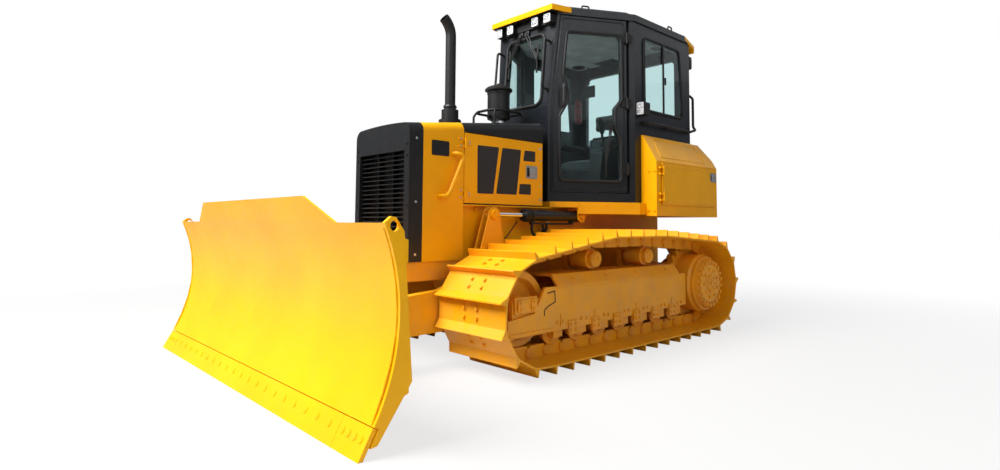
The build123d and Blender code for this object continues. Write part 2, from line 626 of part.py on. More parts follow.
WINDOW_LOW, WINDOW_HIGH, WINDOW_HALF = LEAN_FROM + 35, HEADER - 155, 225.0
SCREEN_TILT = atan2(FRONT_LEAN, HEADER - LEAN_FROM)
SCREEN_PLANE = Plane(origin=(CAB_FRONT_X, 0, LEAN_FROM), x_dir=(0, 1, 0),
                     z_dir=(cos(SCREEN_TILT), 0, sin(SCREEN_TILT)))
SCREEN_MIDDLE = ((WINDOW_LOW + WINDOW_HIGH) / 2 - LEAN_FROM) / cos(SCREEN_TILT)
SCREEN_HEIGHT = (WINDOW_HIGH - WINDOW_LOW) / cos(SCREEN_TILT)
with BuildPart() as door_opening:
    with BuildSketch(DOOR_PLANE.offset(-20)):
        Polygon(*door_side(-100, SILL_TOP - 1, HEADER + 1, 0), align=None)
    extrude(amount=120)
with BuildPart() as cab_front:
    add(cab_walls.part)
    with BuildSketch(Plane.XY.offset(SILL_TOP)):
        with Locations((CAB_FRONT_X, 0)):
            Rectangle(2 * (FRONT_LEAN + 2 * WALL), 1200)
    extrude(amount=HEADER - SILL_TOP, mode=Mode.INTERSECT)
    # the front wall ends just round its corners, where the doors close on it
    add(both_sides(door_opening.part), mode=Mode.SUBTRACT)
    with BuildSketch(SCREEN_PLANE.offset(20)):
        with Locations((0, SCREEN_MIDDLE)):
            RectangleRounded(2 * WINDOW_HALF, SCREEN_HEIGHT, 60)
    extrude(amount=-3 * WALL, mode=Mode.SUBTRACT)
save(cab_front.part, "cab_front")

REAR_WALL_X = CAB_REAR_X + 70
SIDE_WINDOW = [(CAB_HINGE_X - 160, 2030), (CAB_HINGE_X - 155, HEADER - 130),
               (CAB_REAR_X + 220, HEADER - 130), (CAB_REAR_X + 155, 2030)]
with BuildPart() as cab_side:
    add(cab_walls.part)
    with BuildSketch(Plane.XY.offset(SILL_TOP)):
        Polygon((CAB_HINGE_X + HINGE_POST, 300), (CAB_HINGE_X + HINGE_POST, 900), (REAR_WALL_X, 900),
                (REAR_WALL_X, 300), align=None)
    extrude(amount=HEADER - SILL_TOP, mode=Mode.INTERSECT)
    with BuildSketch(side_plane(CAB_HINGE_Y + WALL)):
        with BuildLine():
            FilletPolyline(*SIDE_WINDOW, close=True, radius=50)
        make_face()
    extrude(amount=3 * WALL, mode=Mode.SUBTRACT)
    add(cab_door_hinges[1])
save(both_sides(cab_side.part), "cab_sides")

REAR_LOW, REAR_HIGH = 1860.0, HEADER - 145
REAR_WINDOW = ((REAR_LOW + REAR_HIGH) / 2, 1150.0, REAR_HIGH - REAR_LOW)     # middle height, width, height
with BuildPart() as cab_rear:
    add(cab_walls.part)
    with BuildSketch(Plane.XY.offset(SILL_TOP)):
        with Locations((REAR_WALL_X - 100, 0)):
            Rectangle(200, 1700)
    extrude(amount=HEADER - SILL_TOP, mode=Mode.INTERSECT)
    with BuildSketch(front_plane(CAB_REAR_X - WALL)):
        with Locations((0, REAR_WINDOW[0])):
            RectangleRounded(REAR_WINDOW[1], REAR_WINDOW[2], 60)
    extrude(amount=3 * WALL, mode=Mode.SUBTRACT)
save(cab_rear.part, "cab_rear")

# the door's window is pinched at the handle and at the middle hinge
DOOR_WINDOW = [(150, 1360), (700, 1360), (700, 1905), (622, 2040), (622, 2150), (668, 2265),
               (632, HEADER - 155), (145, HEADER - 155), (138, 2080), (205, 2000), (205, 1810), (150, 1700)]


def door_window(grow, depth):
    """The door's window, grown a little, on a plane this deep in the door."""
    with BuildSketch(DOOR_PLANE.offset(depth)) as window:
        with BuildLine():
            FilletPolyline(*DOOR_WINDOW, close=True, radius=40)
        make_face()
        if grow:
            offset(amount=grow)
    return window.sketch


with BuildPart() as cab_door:
    with BuildSketch(DOOR_PLANE):
        Polygon(*door_side(DOOR_FROM, SILL_TOP + DOOR_GAP, HEADER - DOOR_GAP, DOOR_GAP), align=None)
    extrude(amount=DOOR_THICK)
    extrude(door_window(0, -1), amount=DOOR_THICK + 2, mode=Mode.SUBTRACT)
    add(cab_door_hinges[0])
save_pair(cab_door.part, "cab_door")

# ---------------------------------------------------------------- push frame
EYE_R, LEVER_PLATE = 55.0, 10.0
EYE_WIDTH = ARM_OUT - ARM_IN - 2 * LEVER_PLATE - 4
LEVER_LOW = 660.0

ARM_SIDE = [(365, 415), (480, 300), (900, 235), (1500, 225), (1500, 475), (1020, 515), (770, 590),
            (700, LEVER_LOW), (375, LEVER_LOW), (352, 500)]
LEVER_SIDE = [(375, LEVER_LOW), (700, LEVER_LOW), (668, 760), (LEVER_PIN_X + 54, LEVER_PIN_Z + 10),
              (LEVER_PIN_X - 54, LEVER_PIN_Z + 10), (430, 840)]
NOSE_PLAN = [(1400, 434), (1500, 434), (1690, 150), (1765, 90), (1765, -90), (1690, -150),
             (1500, -434), (1400, -434)]
NOSE_LOW, NOSE_HIGH = 262.0, 470.0
ANGLE_REAR = (1480.0, 250.0)       # angle cylinder pins on the push frame: x, y
ANGLE_FRONT = (1850.0, 700.0)      # and on the blade carrier
ANGLE_Z = 545.0
ANGLE_PIN_R, ANGLE_EYE_R, ANGLE_EYE_H = 20.0, 38.0, 72.0
with BuildPart() as push_frame:
    for outer in (ARM_OUT, -ARM_IN):
        with BuildSketch(side_plane(outer)):
            Polygon(*ARM_SIDE, align=None)
        extrude(amount=ARM_OUT - ARM_IN)
        for plate in (outer, outer - (ARM_OUT - ARM_IN) + LEVER_PLATE):
            with BuildSketch(side_plane(plate)):
                Polygon(*LEVER_SIDE, align=None)
                with Locations((LEVER_PIN_X, LEVER_PIN_Z)):
                    Circle(EYE_R)
            extrude(amount=LEVER_PLATE)
            # pin stubs: the rod eye itself is left free between the plates
            with BuildSketch(side_plane(plate + (4 if plate in (ARM_OUT, -ARM_IN) else 0))):
                with Locations((LEVER_PIN_X, LEVER_PIN_Z)):
                    Circle(28)
            extrude(amount=LEVER_PLATE + 4)
    with BuildSketch(Plane.XY.offset(NOSE_LOW)):
        Polygon(*NOSE_PLAN, align=None)
    extrude(amount=NOSE_HIGH - NOSE_LOW)
    for side in (1, -1):
        with BuildSketch(Plane.XY.offset(NOSE_HIGH)):
            with Locations((ANGLE_REAR[0], side * ANGLE_REAR[1])):
                Circle(ANGLE_PIN_R + 14)
        extrude(amount=ANGLE_Z - ANGLE_EYE_H / 2 - 2 - NOSE_HIGH)
        with BuildSketch(Plane.XY.offset(NOSE_HIGH)):
            with Locations((ANGLE_REAR[0], side * ANGLE_REAR[1])):
                Circle(ANGLE_PIN_R)
        extrude(amount=ANGLE_Z + ANGLE_EYE_H / 2 + 8 - NOSE_HIGH)
    with BuildSketch(side_plane(ARM_OUT + 10)):
        with Locations((LIFT_PIVOT_X, LIFT_PIVOT_Z)):
            Circle(PIVOT_R + 0.4)
    extrude(amount=2 * ARM_OUT + 20, mode=Mode.SUBTRACT)
    with BuildSketch(Plane.XY.offset(NOSE_LOW)):
        with Locations((KINGPIN_X, 0)):
            Circle(45.4)
    extrude(amount=NOSE_HIGH - NOSE_LOW, mode=Mode.SUBTRACT)
save(push_frame.part, "push_frame")

# ---------------------------------------------------------------- blade carrier
CARRIER_LOW, CARRIER_HIGH = 225.0, 620.0
TILT_POST = (-430.0, 690.0)        # tilt cylinder pins, y and z: on the carrier
TILT_LUG = (150.0, 790.0)          # and on the blade
with BuildPart() as blade_carrier:
    with BuildSketch(Plane.XY.offset(KINGPIN_Z - 80)):
        Polygon((CARRIER_BACK_X, 760), (CARRIER_FRONT_X, 760), (CARRIER_FRONT_X, -760),
                (CARRIER_BACK_X, -760), align=None)
    extrude(amount=180)
    with BuildSketch(front_plane(CARRIER_BACK_X)):
        Polygon((-420, 300), (-300, CARRIER_LOW), (300, CARRIER_LOW), (420, 300), (420, 480),
                (250, CARRIER_HIGH), (-480, CARRIER_HIGH), (-480, 480), align=None)
    extrude(amount=CARRIER_FRONT_X - CARRIER_BACK_X)
    # ears over and under the nose hold the kingpin
    for low, high in ((CARRIER_LOW, NOSE_LOW - 5), (NOSE_HIGH + 5, NOSE_HIGH + 42)):
        with BuildSketch(Plane.XY.offset(low)):
            Polygon((CARRIER_BACK_X, 170), (1660, 70), (1660, -70), (CARRIER_BACK_X, -170), align=None)
            with Locations((KINGPIN_X - 20, 0)):
                Circle(75)
        extrude(amount=high - low)
    with BuildSketch(Plane.XY.offset(CARRIER_LOW - 6)):
        with Locations((KINGPIN_X, 0)):
            Circle(45)
    extrude(amount=NOSE_HIGH + 50 - CARRIER_LOW)
    # tilt pin, forward into the blade
    with BuildSketch(front_plane(CARRIER_FRONT_X)):
        with Locations((0, TILT_Z)):
            Circle(50)
    extrude(amount=95)
    # angle cylinder pins stand on the ends of the beam
    for side in (1, -1):
        with BuildSketch(Plane.XY.offset(KINGPIN_Z)):
            with Locations((ANGLE_FRONT[0], side * ANGLE_FRONT[1])):
                Circle(ANGLE_PIN_R + 12)
        extrude(amount=ANGLE_Z - ANGLE_EYE_H / 2 - 2 - KINGPIN_Z)
    # post for the tilt cylinder
    with BuildSketch(front_plane(CARRIER_BACK_X)):
        Polygon((-480, CARRIER_HIGH), (-380, CARRIER_HIGH), (-395, 730), (-465, 730), align=None)
    extrude(amount=12)
    with BuildSketch(front_plane(CARRIER_BACK_X)):
        with Locations(TILT_POST):
            Circle(18)
    extrude(amount=CARRIER_FRONT_X + 6 - CARRIER_BACK_X)
save(blade_carrier.part, "blade_carrier")

# ---------------------------------------------------------------- blade
BLADE_BACK_X = 1985.0
FACE_LOW, FACE_MID, FACE_HIGH = (BLADE_LOW_X, BLADE_LOW_Z), (BLADE_MID_X, 560.0), (BLADE_HIGH_X, BLADE_HIGH_Z)
FACE_TOP = (2190.0, BLADE_TOP_Z)
BACK_LOW, BACK_MID = (BLADE_LOW_X - BLADE_SKIN, BLADE_LOW_Z), (BLADE_MID_X - BLADE_SKIN, 560.0)
BACK_HIGH, BACK_TOP = (BLADE_HIGH_X - BLADE_SKIN, BLADE_HIGH_Z + 3), (2190.0 - BLADE_SKIN, BLADE_TOP_Z)
SHOULDER = BLADE_HALF - 430        # half width where the raised middle leaves the shoulders
RAISED = SHOULDER - 255           # half width of the raised middle's top edge
# cutting edge: its tip, the top of its face, and the two ends of its back
EDGE_THICK, END_BIT = 20.0, 240.0
EDGE_TOP, EDGE_TIP = (BLADE_LOW_X + 2, BLADE_LOW_Z - 4), (2237.0, 0.0)
EDGE_BACK_TOP, EDGE_BACK_TIP = (EDGE_TOP[0] - EDGE_THICK, EDGE_TOP[1] - 8), (EDGE_TIP[0] - 24, 0.0)
LIP_SHARE = 0.55         # how far down the edge's back the moldboard's lip reaches
LIP = (EDGE_BACK_TOP[0] + LIP_SHARE * (EDGE_BACK_TIP[0] - EDGE_BACK_TOP[0]),
       EDGE_BACK_TOP[1] * (1 - LIP_SHARE))
RIB_YS = [side * y for y in (BLADE_HALF - 250, BLADE_HALF - 610, 520, 200) for side in (-1, 1)]
TUBE_LOW, TUBE_HIGH = 170.0, 380.0
with BuildPart() as moldboard:
    with BuildSketch(side_plane(BLADE_HALF)):
        with BuildLine():
            ThreePointArc(FACE_LOW, FACE_MID, FACE_HIGH)
            Line(FACE_HIGH, FACE_TOP)
            Line(FACE_TOP, BACK_TOP)
            Line(BACK_TOP, BACK_HIGH)
            ThreePointArc(BACK_HIGH, BACK_MID, BACK_LOW)
            Line(BACK_LOW, FACE_LOW)
        make_face()
    extrude(amount=2 * BLADE_HALF)
    # the top edge is raised in the middle, so the driver sees over the shoulders
    for side in (1, -1):
        with BuildSketch(front_plane(2000)):
            Polygon((side * SHOULDER, BLADE_HIGH_Z), (side * RAISED, BLADE_TOP_Z),
                    (side * RAISED, BLADE_TOP_Z + 50), (side * 1600, BLADE_TOP_Z + 50),
                    (side * 1600, BLADE_HIGH_Z), align=None)
        extrude(amount=300, mode=Mode.SUBTRACT)
    # box beams along the back, low and high, joined by upright ribs
    with BuildSketch(side_plane(BLADE_HALF)):
        Polygon((BLADE_BACK_X, TUBE_LOW + 60), (BLADE_LOW_X - 40, TUBE_LOW), (2085, 300),
                (2060, TUBE_HIGH), (BLADE_BACK_X, TUBE_HIGH), align=None)
    extrude(amount=2 * BLADE_HALF)
    with BuildSketch(side_plane(BLADE_HALF)):
        Polygon((2000, 800), (2060, 780), (2090, 850), (2112, 940), (2000, 900), align=None)
    extrude(amount=2 * BLADE_HALF)
    for y in RIB_YS:
        with BuildSketch(side_plane(y + 6)):
            Polygon((BLADE_BACK_X, TUBE_HIGH - 5), (2056, TUBE_HIGH - 5), (2041, 560), (2052, 720),
                    (2065, 805), (2000, 805), (BLADE_BACK_X, 700), align=None)
        extrude(amount=12)
    # lip that the cutting edge is bolted to
    with BuildSketch(side_plane(BLADE_HALF)):
        Polygon(EDGE_BACK_TOP, LIP, (LIP[0] - 15, LIP[1] - 8), (EDGE_BACK_TOP[0] - 25, EDGE_BACK_TOP[1]),
                (BLADE_LOW_X - 42, TUBE_LOW + 4), (BLADE_LOW_X - 8, BLADE_LOW_Z + 7), align=None)
    extrude(amount=2 * BLADE_HALF)
END_PLATE = 22.0
with BuildPart() as end_plates:
    for y in (BLADE_HALF + END_PLATE, -BLADE_HALF):
        with BuildSketch(side_plane(y)):
            with BuildLine():
                ThreePointArc(FACE_LOW, FACE_MID, FACE_HIGH)
                Polyline(FACE_HIGH, (2104, 1003), (2080, 1000), (2036, 937), (1983, 284),
                         (2150, 50), (2183, 45), (2146, 118), (2166, 127), FACE_LOW)
            make_face()
            with Locations((2086, 962)):
                Circle(24, mode=Mode.SUBTRACT)
        extrude(amount=END_PLATE)
with BuildPart() as blade:
    add(moldboard.part)
    add(end_plates.part)
save(blade.part, "blade")

# bracket behind the blade: boss for the tilt pin between two plates, and the tilt cylinder's lug
with BuildPart() as blade_bracket:
    with BuildSketch(front_plane(CARRIER_FRONT_X + 6)):
        with Locations((0, TILT_Z)):
            Circle(105)
    extrude(amount=BLADE_BACK_X + 30 - CARRIER_FRONT_X)
    for y in (-200.0, 188.0):
        with BuildSketch(side_plane(y + 12)):
            Polygon((CARRIER_FRONT_X + 40, 330), (BLADE_BACK_X + 5, 290), (BLADE_BACK_X + 5, 640),
                    (CARRIER_FRONT_X + 60, 560), align=None)
        extrude(amount=12)
    with BuildSketch(front_plane(CARRIER_FRONT_X + 10)):
        with Locations(TILT_LUG):
            Rectangle(80, 90)
    extrude(amount=2020 - CARRIER_FRONT_X)
    with BuildSketch(front_plane(CARRIER_FRONT_X + 6)):
        with Locations((0, TILT_Z)):
            Circle(50.4)
    extrude(amount=92, mode=Mode.SUBTRACT)
    add(moldboard.part, mode=Mode.SUBTRACT)
save(blade_bracket.part, "blade_bracket")

# cutting edge: a long middle strip and two end bits, bolted to the moldboard's foot
with BuildPart() as cutting_edge:
    for start, length in ((EDGE_HALF, END_BIT), (EDGE_HALF - END_BIT - 2, 2 * (EDGE_HALF - END_BIT - 2)),
                          (END_BIT - EDGE_HALF, END_BIT)):
        with BuildSketch(side_plane(start)):
            Polygon(EDGE_TIP, EDGE_TOP, EDGE_BACK_TOP, EDGE_BACK_TIP, align=None)
        extrude(amount=length)
save(cutting_edge.part, "cutting_edge")


# ---------------------------------------------------------------- cylinders
def cylinder(start, end, up, barrel, rod, closed, eye_r, eye_w, pin_r, head=60):
    """Barrel with its eye at start, and the rod that ends in an eye at end."""
    run = Vector(*end) - Vector(*start)
    length, along = run.length, run.normalized()
    base = Plane(origin=start, x_dir=up, z_dir=along)
    eye = Plane(origin=start, x_dir=along, z_dir=up)
    far_eye = Plane(origin=end, x_dir=along, z_dir=up)
    barrel_end = closed - eye_r - 6
    with BuildPart() as tube:
        with BuildSketch(base.offset(eye_r - 8)):
            Circle(barrel)
        extrude(amount=barrel_end - eye_r + 8)
        with BuildSketch(base.offset(barrel_end - head)):
            Circle(barrel + 5)
        extrude(amount=head)
        with BuildSketch(eye.offset(-eye_w / 2)):
            Circle(eye_r)
        extrude(amount=eye_w)
        with BuildSketch(eye.offset(-eye_w / 2)):
            Circle(pin_r + 0.4)
        extrude(amount=eye_w, mode=Mode.SUBTRACT)
        with BuildSketch(base.offset(eye_r + 20)):
            Circle(rod + 0.4)
        extrude(amount=barrel_end, mode=Mode.SUBTRACT)
    with BuildPart() as shaft:
        with BuildSketch(base.offset(length - closed + eye_r + 30)):
            Circle(rod)
        extrude(amount=closed - 30 - 2 * eye_r + 8)
        with BuildSketch(far_eye.offset(-eye_w / 2)):
            Circle(eye_r)
        extrude(amount=eye_w)
    return tube.part, shaft.part


LIFT_CLOSED = 722.0
lift = cylinder((LIFT_REAR_X, LIFT_Y, LIFT_REAR_Z), (LEVER_PIN_X, LIFT_Y, LEVER_PIN_Z), (0, 1, 0),
                44, 20, LIFT_CLOSED, 50, EYE_WIDTH, 22)
save_pair(lift[0], "lift_barrel")
save_pair(lift[1], "lift_rod")

ANGLE_CLOSED = 448.0
angle = cylinder((ANGLE_REAR[0], ANGLE_REAR[1], ANGLE_Z), (ANGLE_FRONT[0], ANGLE_FRONT[1], ANGLE_Z),
                 (0, 0, 1), 34, 18, ANGLE_CLOSED, ANGLE_EYE_R, ANGLE_EYE_H, ANGLE_PIN_R, 30)
save_pair(angle[0], "angle_barrel")
save_pair(angle[1], "angle_rod")

TILT_CYL_X = 1850.0
TILT_CLOSED = 520.0
tilt = cylinder((TILT_CYL_X, TILT_POST[0], TILT_POST[1]), (TILT_CYL_X, TILT_LUG[0], TILT_LUG[1]),
                (1, 0, 0), 34, 18, TILT_CLOSED, 36, 40, 18, 30)
save(tilt[0], "tilt_barrel")
save(tilt[1], "tilt_rod")

# ---------------------------------------------------------------- tanks and rear
TANK_FRONT, TANK_REAR, TANK_LOW = -990.0, -2095.0, 1050.0
TANK_OUT, TANK_CREASE, TANK_TOP = 880.0, 1540.0, 1780.0
TANK_IN = CAB_HINGE_Y + 1
TANK_LOW_IN = DECK_HINGE_Y + 1
BOX_DOOR = (-1065.0, -2065.0, 1150.0, 1522.0)      # front, rear, low, high
BOX_DOOR_OUT = 15.0      # its outer face stands this far off the box
BOX_HINGE = Plane(origin=(BOX_DOOR[0], TANK_OUT + BOX_DOOR_OUT, 0), x_dir=(-1, 0, 0), z_dir=(0, 0, 1))
box_hinges = hinge_halves(BOX_HINGE, -1, (1220, 1452), 45, BOX_DOOR_OUT)
with BuildPart() as side_box:
    with BuildSketch(front_plane(TANK_REAR)):
        Polygon((TANK_LOW_IN, TANK_LOW), (TANK_OUT, TANK_LOW), (TANK_OUT, TANK_CREASE),
                (TANK_IN + 16, TANK_TOP), (TANK_IN, TANK_TOP), (TANK_IN, DECK + 1),
                (TANK_LOW_IN, DECK + 1), align=None)
    extrude(amount=TANK_FRONT - TANK_REAR)
    with BuildSketch(side_plane(TANK_OUT + 10)):
        Polygon((TANK_REAR - 10, 1610), (-1975, TANK_TOP + 10), (TANK_REAR - 10, TANK_TOP + 10), align=None)
    extrude(amount=TANK_OUT + 20 - TANK_IN, mode=Mode.SUBTRACT)
    add(box_hinges[1])
save(both_sides(side_box.part), "side_boxes")

with BuildPart() as box_door:
    with BuildSketch(side_plane(TANK_OUT + BOX_DOOR_OUT)):
        Polygon((BOX_DOOR[0], BOX_DOOR[2]), (BOX_DOOR[0], BOX_DOOR[3]), (BOX_DOOR[1], BOX_DOOR[3]),
                (BOX_DOOR[1], BOX_DOOR[2]), align=None)
    extrude(amount=BOX_DOOR_OUT - 5)
    add(box_hinges[0])
save_pair(box_door.part, "box_door")

with BuildPart() as fuel_tank:
    with BuildSketch(side_plane(TANK_IN)):
        Polygon((DECK_REAR_X, TANK_LOW), (DECK_REAR_X, 1700), (TANK_REAR, 1580),
                (TANK_REAR, TANK_LOW), align=None)
    extrude(amount=2 * TANK_IN)
save(fuel_tank.part, "fuel_tank")

HITCH_X, HITCH_R = -2180.0, 26.0
with BuildPart() as drawbar:
    for low in (430, 545):
        with BuildSketch(Plane.XY.offset(low)):
            Polygon((HULL_REAR, 150), (HULL_REAR - 120, 90), (-2237, 70), (-2237, -70),
                    (HULL_REAR - 120, -90), (HULL_REAR, -150), align=None)
            with Locations((HITCH_X, 0)):
                Circle(HITCH_R, mode=Mode.SUBTRACT)
        extrude(amount=35)
    with BuildSketch(Plane.XY.offset(430)):
        with Locations((HULL_REAR - 30, 0)):
            Rectangle(60, 260)
    extrude(amount=150)
save(drawbar.part, "drawbar")

# ---------------------------------------------------------------- exhaust and air intake
STACK_X, STACK_R = 623.0, 42.0
STACK_BEND_Z, STACK_BEND_R, STACK_TURN = 2480.0, 170.0, 55.0
CLEANER_X = 93.0


def bend_point(turn):
    """Point of the stack's bend after turning this many degrees forward."""
    a = radians(180 - turn)
    return (STACK_X + STACK_BEND_R * (1 + cos(a)), 0, STACK_BEND_Z + STACK_BEND_R * sin(a))


def over_hood(stem):
    """Cut a stem to the hood's crown, so that it sits on the skin."""
    with BuildPart() as cut:
        add(stem)
        loft(sections=[hood_section(GRILLE_FRAME_REAR, 1400, 0), hood_section(HOOD_REAR, 1400, 0)],
             mode=Mode.SUBTRACT)
    return cut.part


with BuildPart() as stack:
    with BuildSketch(Plane.XY.offset(1700)):
        with Locations((STACK_X, 0)):
            Circle(90)
    extrude(amount=98)
    with BuildSketch(Plane.XY.offset(1790)):
        with Locations((STACK_X, 0)):
            Circle(68)
    extrude(amount=90)
    with BuildSketch(Plane.XY.offset(1875)):
        with Locations((STACK_X, 0)):
            Circle(STACK_R + 6)
    extrude(amount=30)
    with BuildLine() as pipe_line:
        Line((STACK_X, 0, 1890), (STACK_X, 0, STACK_BEND_Z))
        ThreePointArc((STACK_X, 0, STACK_BEND_Z), bend_point(STACK_TURN / 2), bend_point(STACK_TURN))
    with BuildSketch(Plane.XY.offset(1890)):
        with Locations((STACK_X, 0)):
            Circle(STACK_R)
    sweep(path=pipe_line.line)
    with BuildSketch(Plane.XY.offset(1890)):
        with Locations((STACK_X, 0)):
            Circle(STACK_R - 4)
    sweep(path=pipe_line.line, mode=Mode.SUBTRACT)
save(over_hood(stack.part), "exhaust_stack")

# air intake: neck, canister and a flared rain cap
CLEANER_PROFILE = [(0, 1780), (48, 1780), (48, 1862), (97, 1872), (97, 2100), (100, 2112), (120, 2120),
                   (120, 2132), (100, 2150), (60, 2166), (0, 2172)]
with BuildPart() as air_cleaner:
    with BuildSketch(Plane(origin=(CLEANER_X, 0, 0), x_dir=(1, 0, 0), z_dir=(0, -1, 0))):
        Polygon(*CLEANER_PROFILE, align=None)
    revolve(axis=Axis((CLEANER_X, 0, 0), (0, 0, 1)))
save(over_hood(air_cleaner.part), "air_cleaner")

# ---------------------------------------------------------------- cab fittings
VISOR_LOW, VISOR_HIGH = HEADER + 17, ROOF_EDGE + 4
VISOR_FRONT_X = cab_front_x(HEADER) + 97
VISOR_PLAN = [(VISOR_FRONT_X, 385), (VISOR_FRONT_X - 197, 436), (VISOR_FRONT_X - 197, -436),
              (VISOR_FRONT_X, -385)]
with BuildPart() as visor:
    with BuildSketch(Plane.XY.offset(VISOR_LOW)):
        Polygon(*VISOR_PLAN, align=None)
    extrude(amount=VISOR_HIGH - VISOR_LOW)
    add(cab_plan(ROOF_GROW, HEADER, VISOR_HIGH + 1), mode=Mode.SUBTRACT)
save(visor.part, "visor")

# lifting eyes stand on the flat rim of the roof
EYE_ROD, EYE_HIGH, EYE_LONG = 7.0, 40.0, 66.0
RIM = Vector(0, 0, ROOF_EDGE)
with BuildPart() as lifting_eyes:
    for foot, along in ((DOOR_PLANE.from_local_coords((472, 0, -2)) + RIM, DOOR_DIRECTION),
                        (Vector(-1500, CAB_HINGE_Y + 2, 0) + RIM, Vector(1, 0, 0))):
        reach, rise = along * (EYE_LONG / 2), Vector(0, 0, EYE_HIGH - EYE_ROD)
        with BuildLine() as eye_line:
            FilletPolyline(foot - reach, foot - reach + rise, foot + reach + rise, foot + reach, radius=14)
        with BuildSketch(Plane(origin=eye_line.line @ 0, z_dir=eye_line.line % 0)):
            Circle(EYE_ROD)
        sweep(path=eye_line.line)
save(both_sides(lifting_eyes.part), "lifting_eyes")

LAMP_BAR_X, LAMP_Z = cab_front_x(HEADER) + 30, HEADER - 40
with BuildPart() as lamp_bar:
    with BuildSketch(front_plane(LAMP_BAR_X)):
        with Locations((0, LAMP_Z + 4)):
            Rectangle(700, 72)
    extrude(amount=-80)
    add(cab_plan(0, LAMP_Z - 60, HEADER), mode=Mode.SUBTRACT)

with BuildPart() as roof_lamps:
    with BuildSketch(front_plane(LAMP_BAR_X)):
        for y in (-305, -158, 158, 305):
            with Locations((y, LAMP_Z)):
                RectangleRounded(80, 80, 8)
    extrude(amount=42)

GLASS = 5.0
with BuildPart() as windshield:
    with BuildSketch(SCREEN_PLANE):
        with Locations((0, SCREEN_MIDDLE)):
            RectangleRounded(2 * WINDOW_HALF + 30, SCREEN_HEIGHT + 30, 70)
    extrude(amount=GLASS)

with BuildPart() as side_glass:
    with BuildSketch(side_plane(CAB_HINGE_Y + GLASS)):
        with BuildLine():
            FilletPolyline(*SIDE_WINDOW, close=True, radius=50)
        make_face()
        offset(amount=15)
    extrude(amount=GLASS)

with BuildPart() as rear_glass:
    with BuildSketch(front_plane(CAB_REAR_X - GLASS)):
        with Locations((0, REAR_WINDOW[0])):
            RectangleRounded(REAR_WINDOW[1] + 30, REAR_WINDOW[2] + 30, 70)
    extrude(amount=GLASS)
save(Compound(windshield.part.solids() + both_sides(side_glass.part).solids() + rear_glass.part.solids()),
     "cab_glass")

SEAT_X, SEAT_TOP = -1150.0, 1600.0
FLOOR = DECK + FLOOR_SHEET
with BuildPart() as seat_base:
    with BuildSketch(Plane.XY.offset(FLOOR)):
        with Locations((SEAT_X, 0)):
            RectangleRounded(420, 420, 30)
    extrude(amount=SEAT_TOP - 110 - FLOOR)
save(seat_base.part, "seat_base")

with BuildPart() as seat_cushion:
    with BuildSketch(Plane.XY.offset(SEAT_TOP - 110)):
        with Locations((SEAT_X + 10, 0)):
            RectangleRounded(480, 500, 60)
    extrude(amount=110)
save(seat_cushion.part, "seat_cushion")

with BuildPart() as seat_back:
    with BuildSketch(front_plane(SEAT_X - 330)):
        with Locations((0, SEAT_TOP + 170)):
            RectangleRounded(480, 720, 90)
    extrude(amount=99.5)
save(seat_back.part, "seat_back")

with BuildPart() as console:
    with BuildSketch(side_plane(400)):
        Polygon((SEAT_X - 320, FLOOR), (SEAT_X + 380, FLOOR), (SEAT_X + 300, 1640), (SEAT_X + 80, 1720),
                (SEAT_X - 320, 1720), align=None)
    extrude(amount=140)
save(both_sides(console.part), "consoles")

# grab loops beside the windscreen lean back with it
RAIL_R, RAIL_OUT, RAIL_LONG = 11.0, 75.0, 430.0
with BuildPart() as hand_rail:
    with BuildLine(Plane(origin=SCREEN_PLANE.from_local_coords((300, 150, 0)), x_dir=SCREEN_PLANE.y_dir,
                         z_dir=SCREEN_PLANE.x_dir)) as rail_line:
        FilletPolyline((0, -20), (0, RAIL_OUT), (RAIL_LONG, RAIL_OUT), (RAIL_LONG, -20), radius=25)
    with BuildSketch(Plane(origin=rail_line.line @ 0, z_dir=rail_line.line % 0)):
        Circle(RAIL_R)
    sweep(path=rail_line.line)
    add(cab_plan(0, LEAN_FROM - 100, HEADER - 25), mode=Mode.SUBTRACT)
save(both_sides(hand_rail.part), "hand_rails")

with BuildPart() as side_lamp:
    with BuildSketch(side_plane(CAB_HINGE_Y + 75)):
        with Locations((-980, 2010)):
            RectangleRounded(100, 115, 10)
    extrude(amount=75)
with BuildPart() as front_lamps:
    add(lamp_bar.part)
    add(roof_lamps.part)
save(Compound(front_lamps.part.solids() + both_sides(side_lamp.part).solids()), "work_lamps")

with BuildPart() as door_glass:
    extrude(door_window(15, -GLASS), amount=GLASS)
save_pair(door_glass.part, "door_glass")
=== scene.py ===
# %% [markdown]
# # A small wide-track bulldozer
# This lesson dresses a finished solid model of a crawler bulldozer. The solids arrive in metres,
# standing on the ground, with +X towards the blade and +Y to the machine's left. Nothing here moves
# or resizes them: the lesson gives each one its finish, and adds the small pieces that a drawing
# office leaves out, such as bolts, hoses, seals and wipers. Every added piece is told which part of
# the machine it rides on, so that it follows when the blade lifts or a door opens.

# %% Load the machine
from math import acos, atan2, cos, hypot, pi, radians, sin
import bmesh
import bpy
import numpy as np
from mathutils import Matrix, Vector
from mathutils.bvhtree import BVHTree


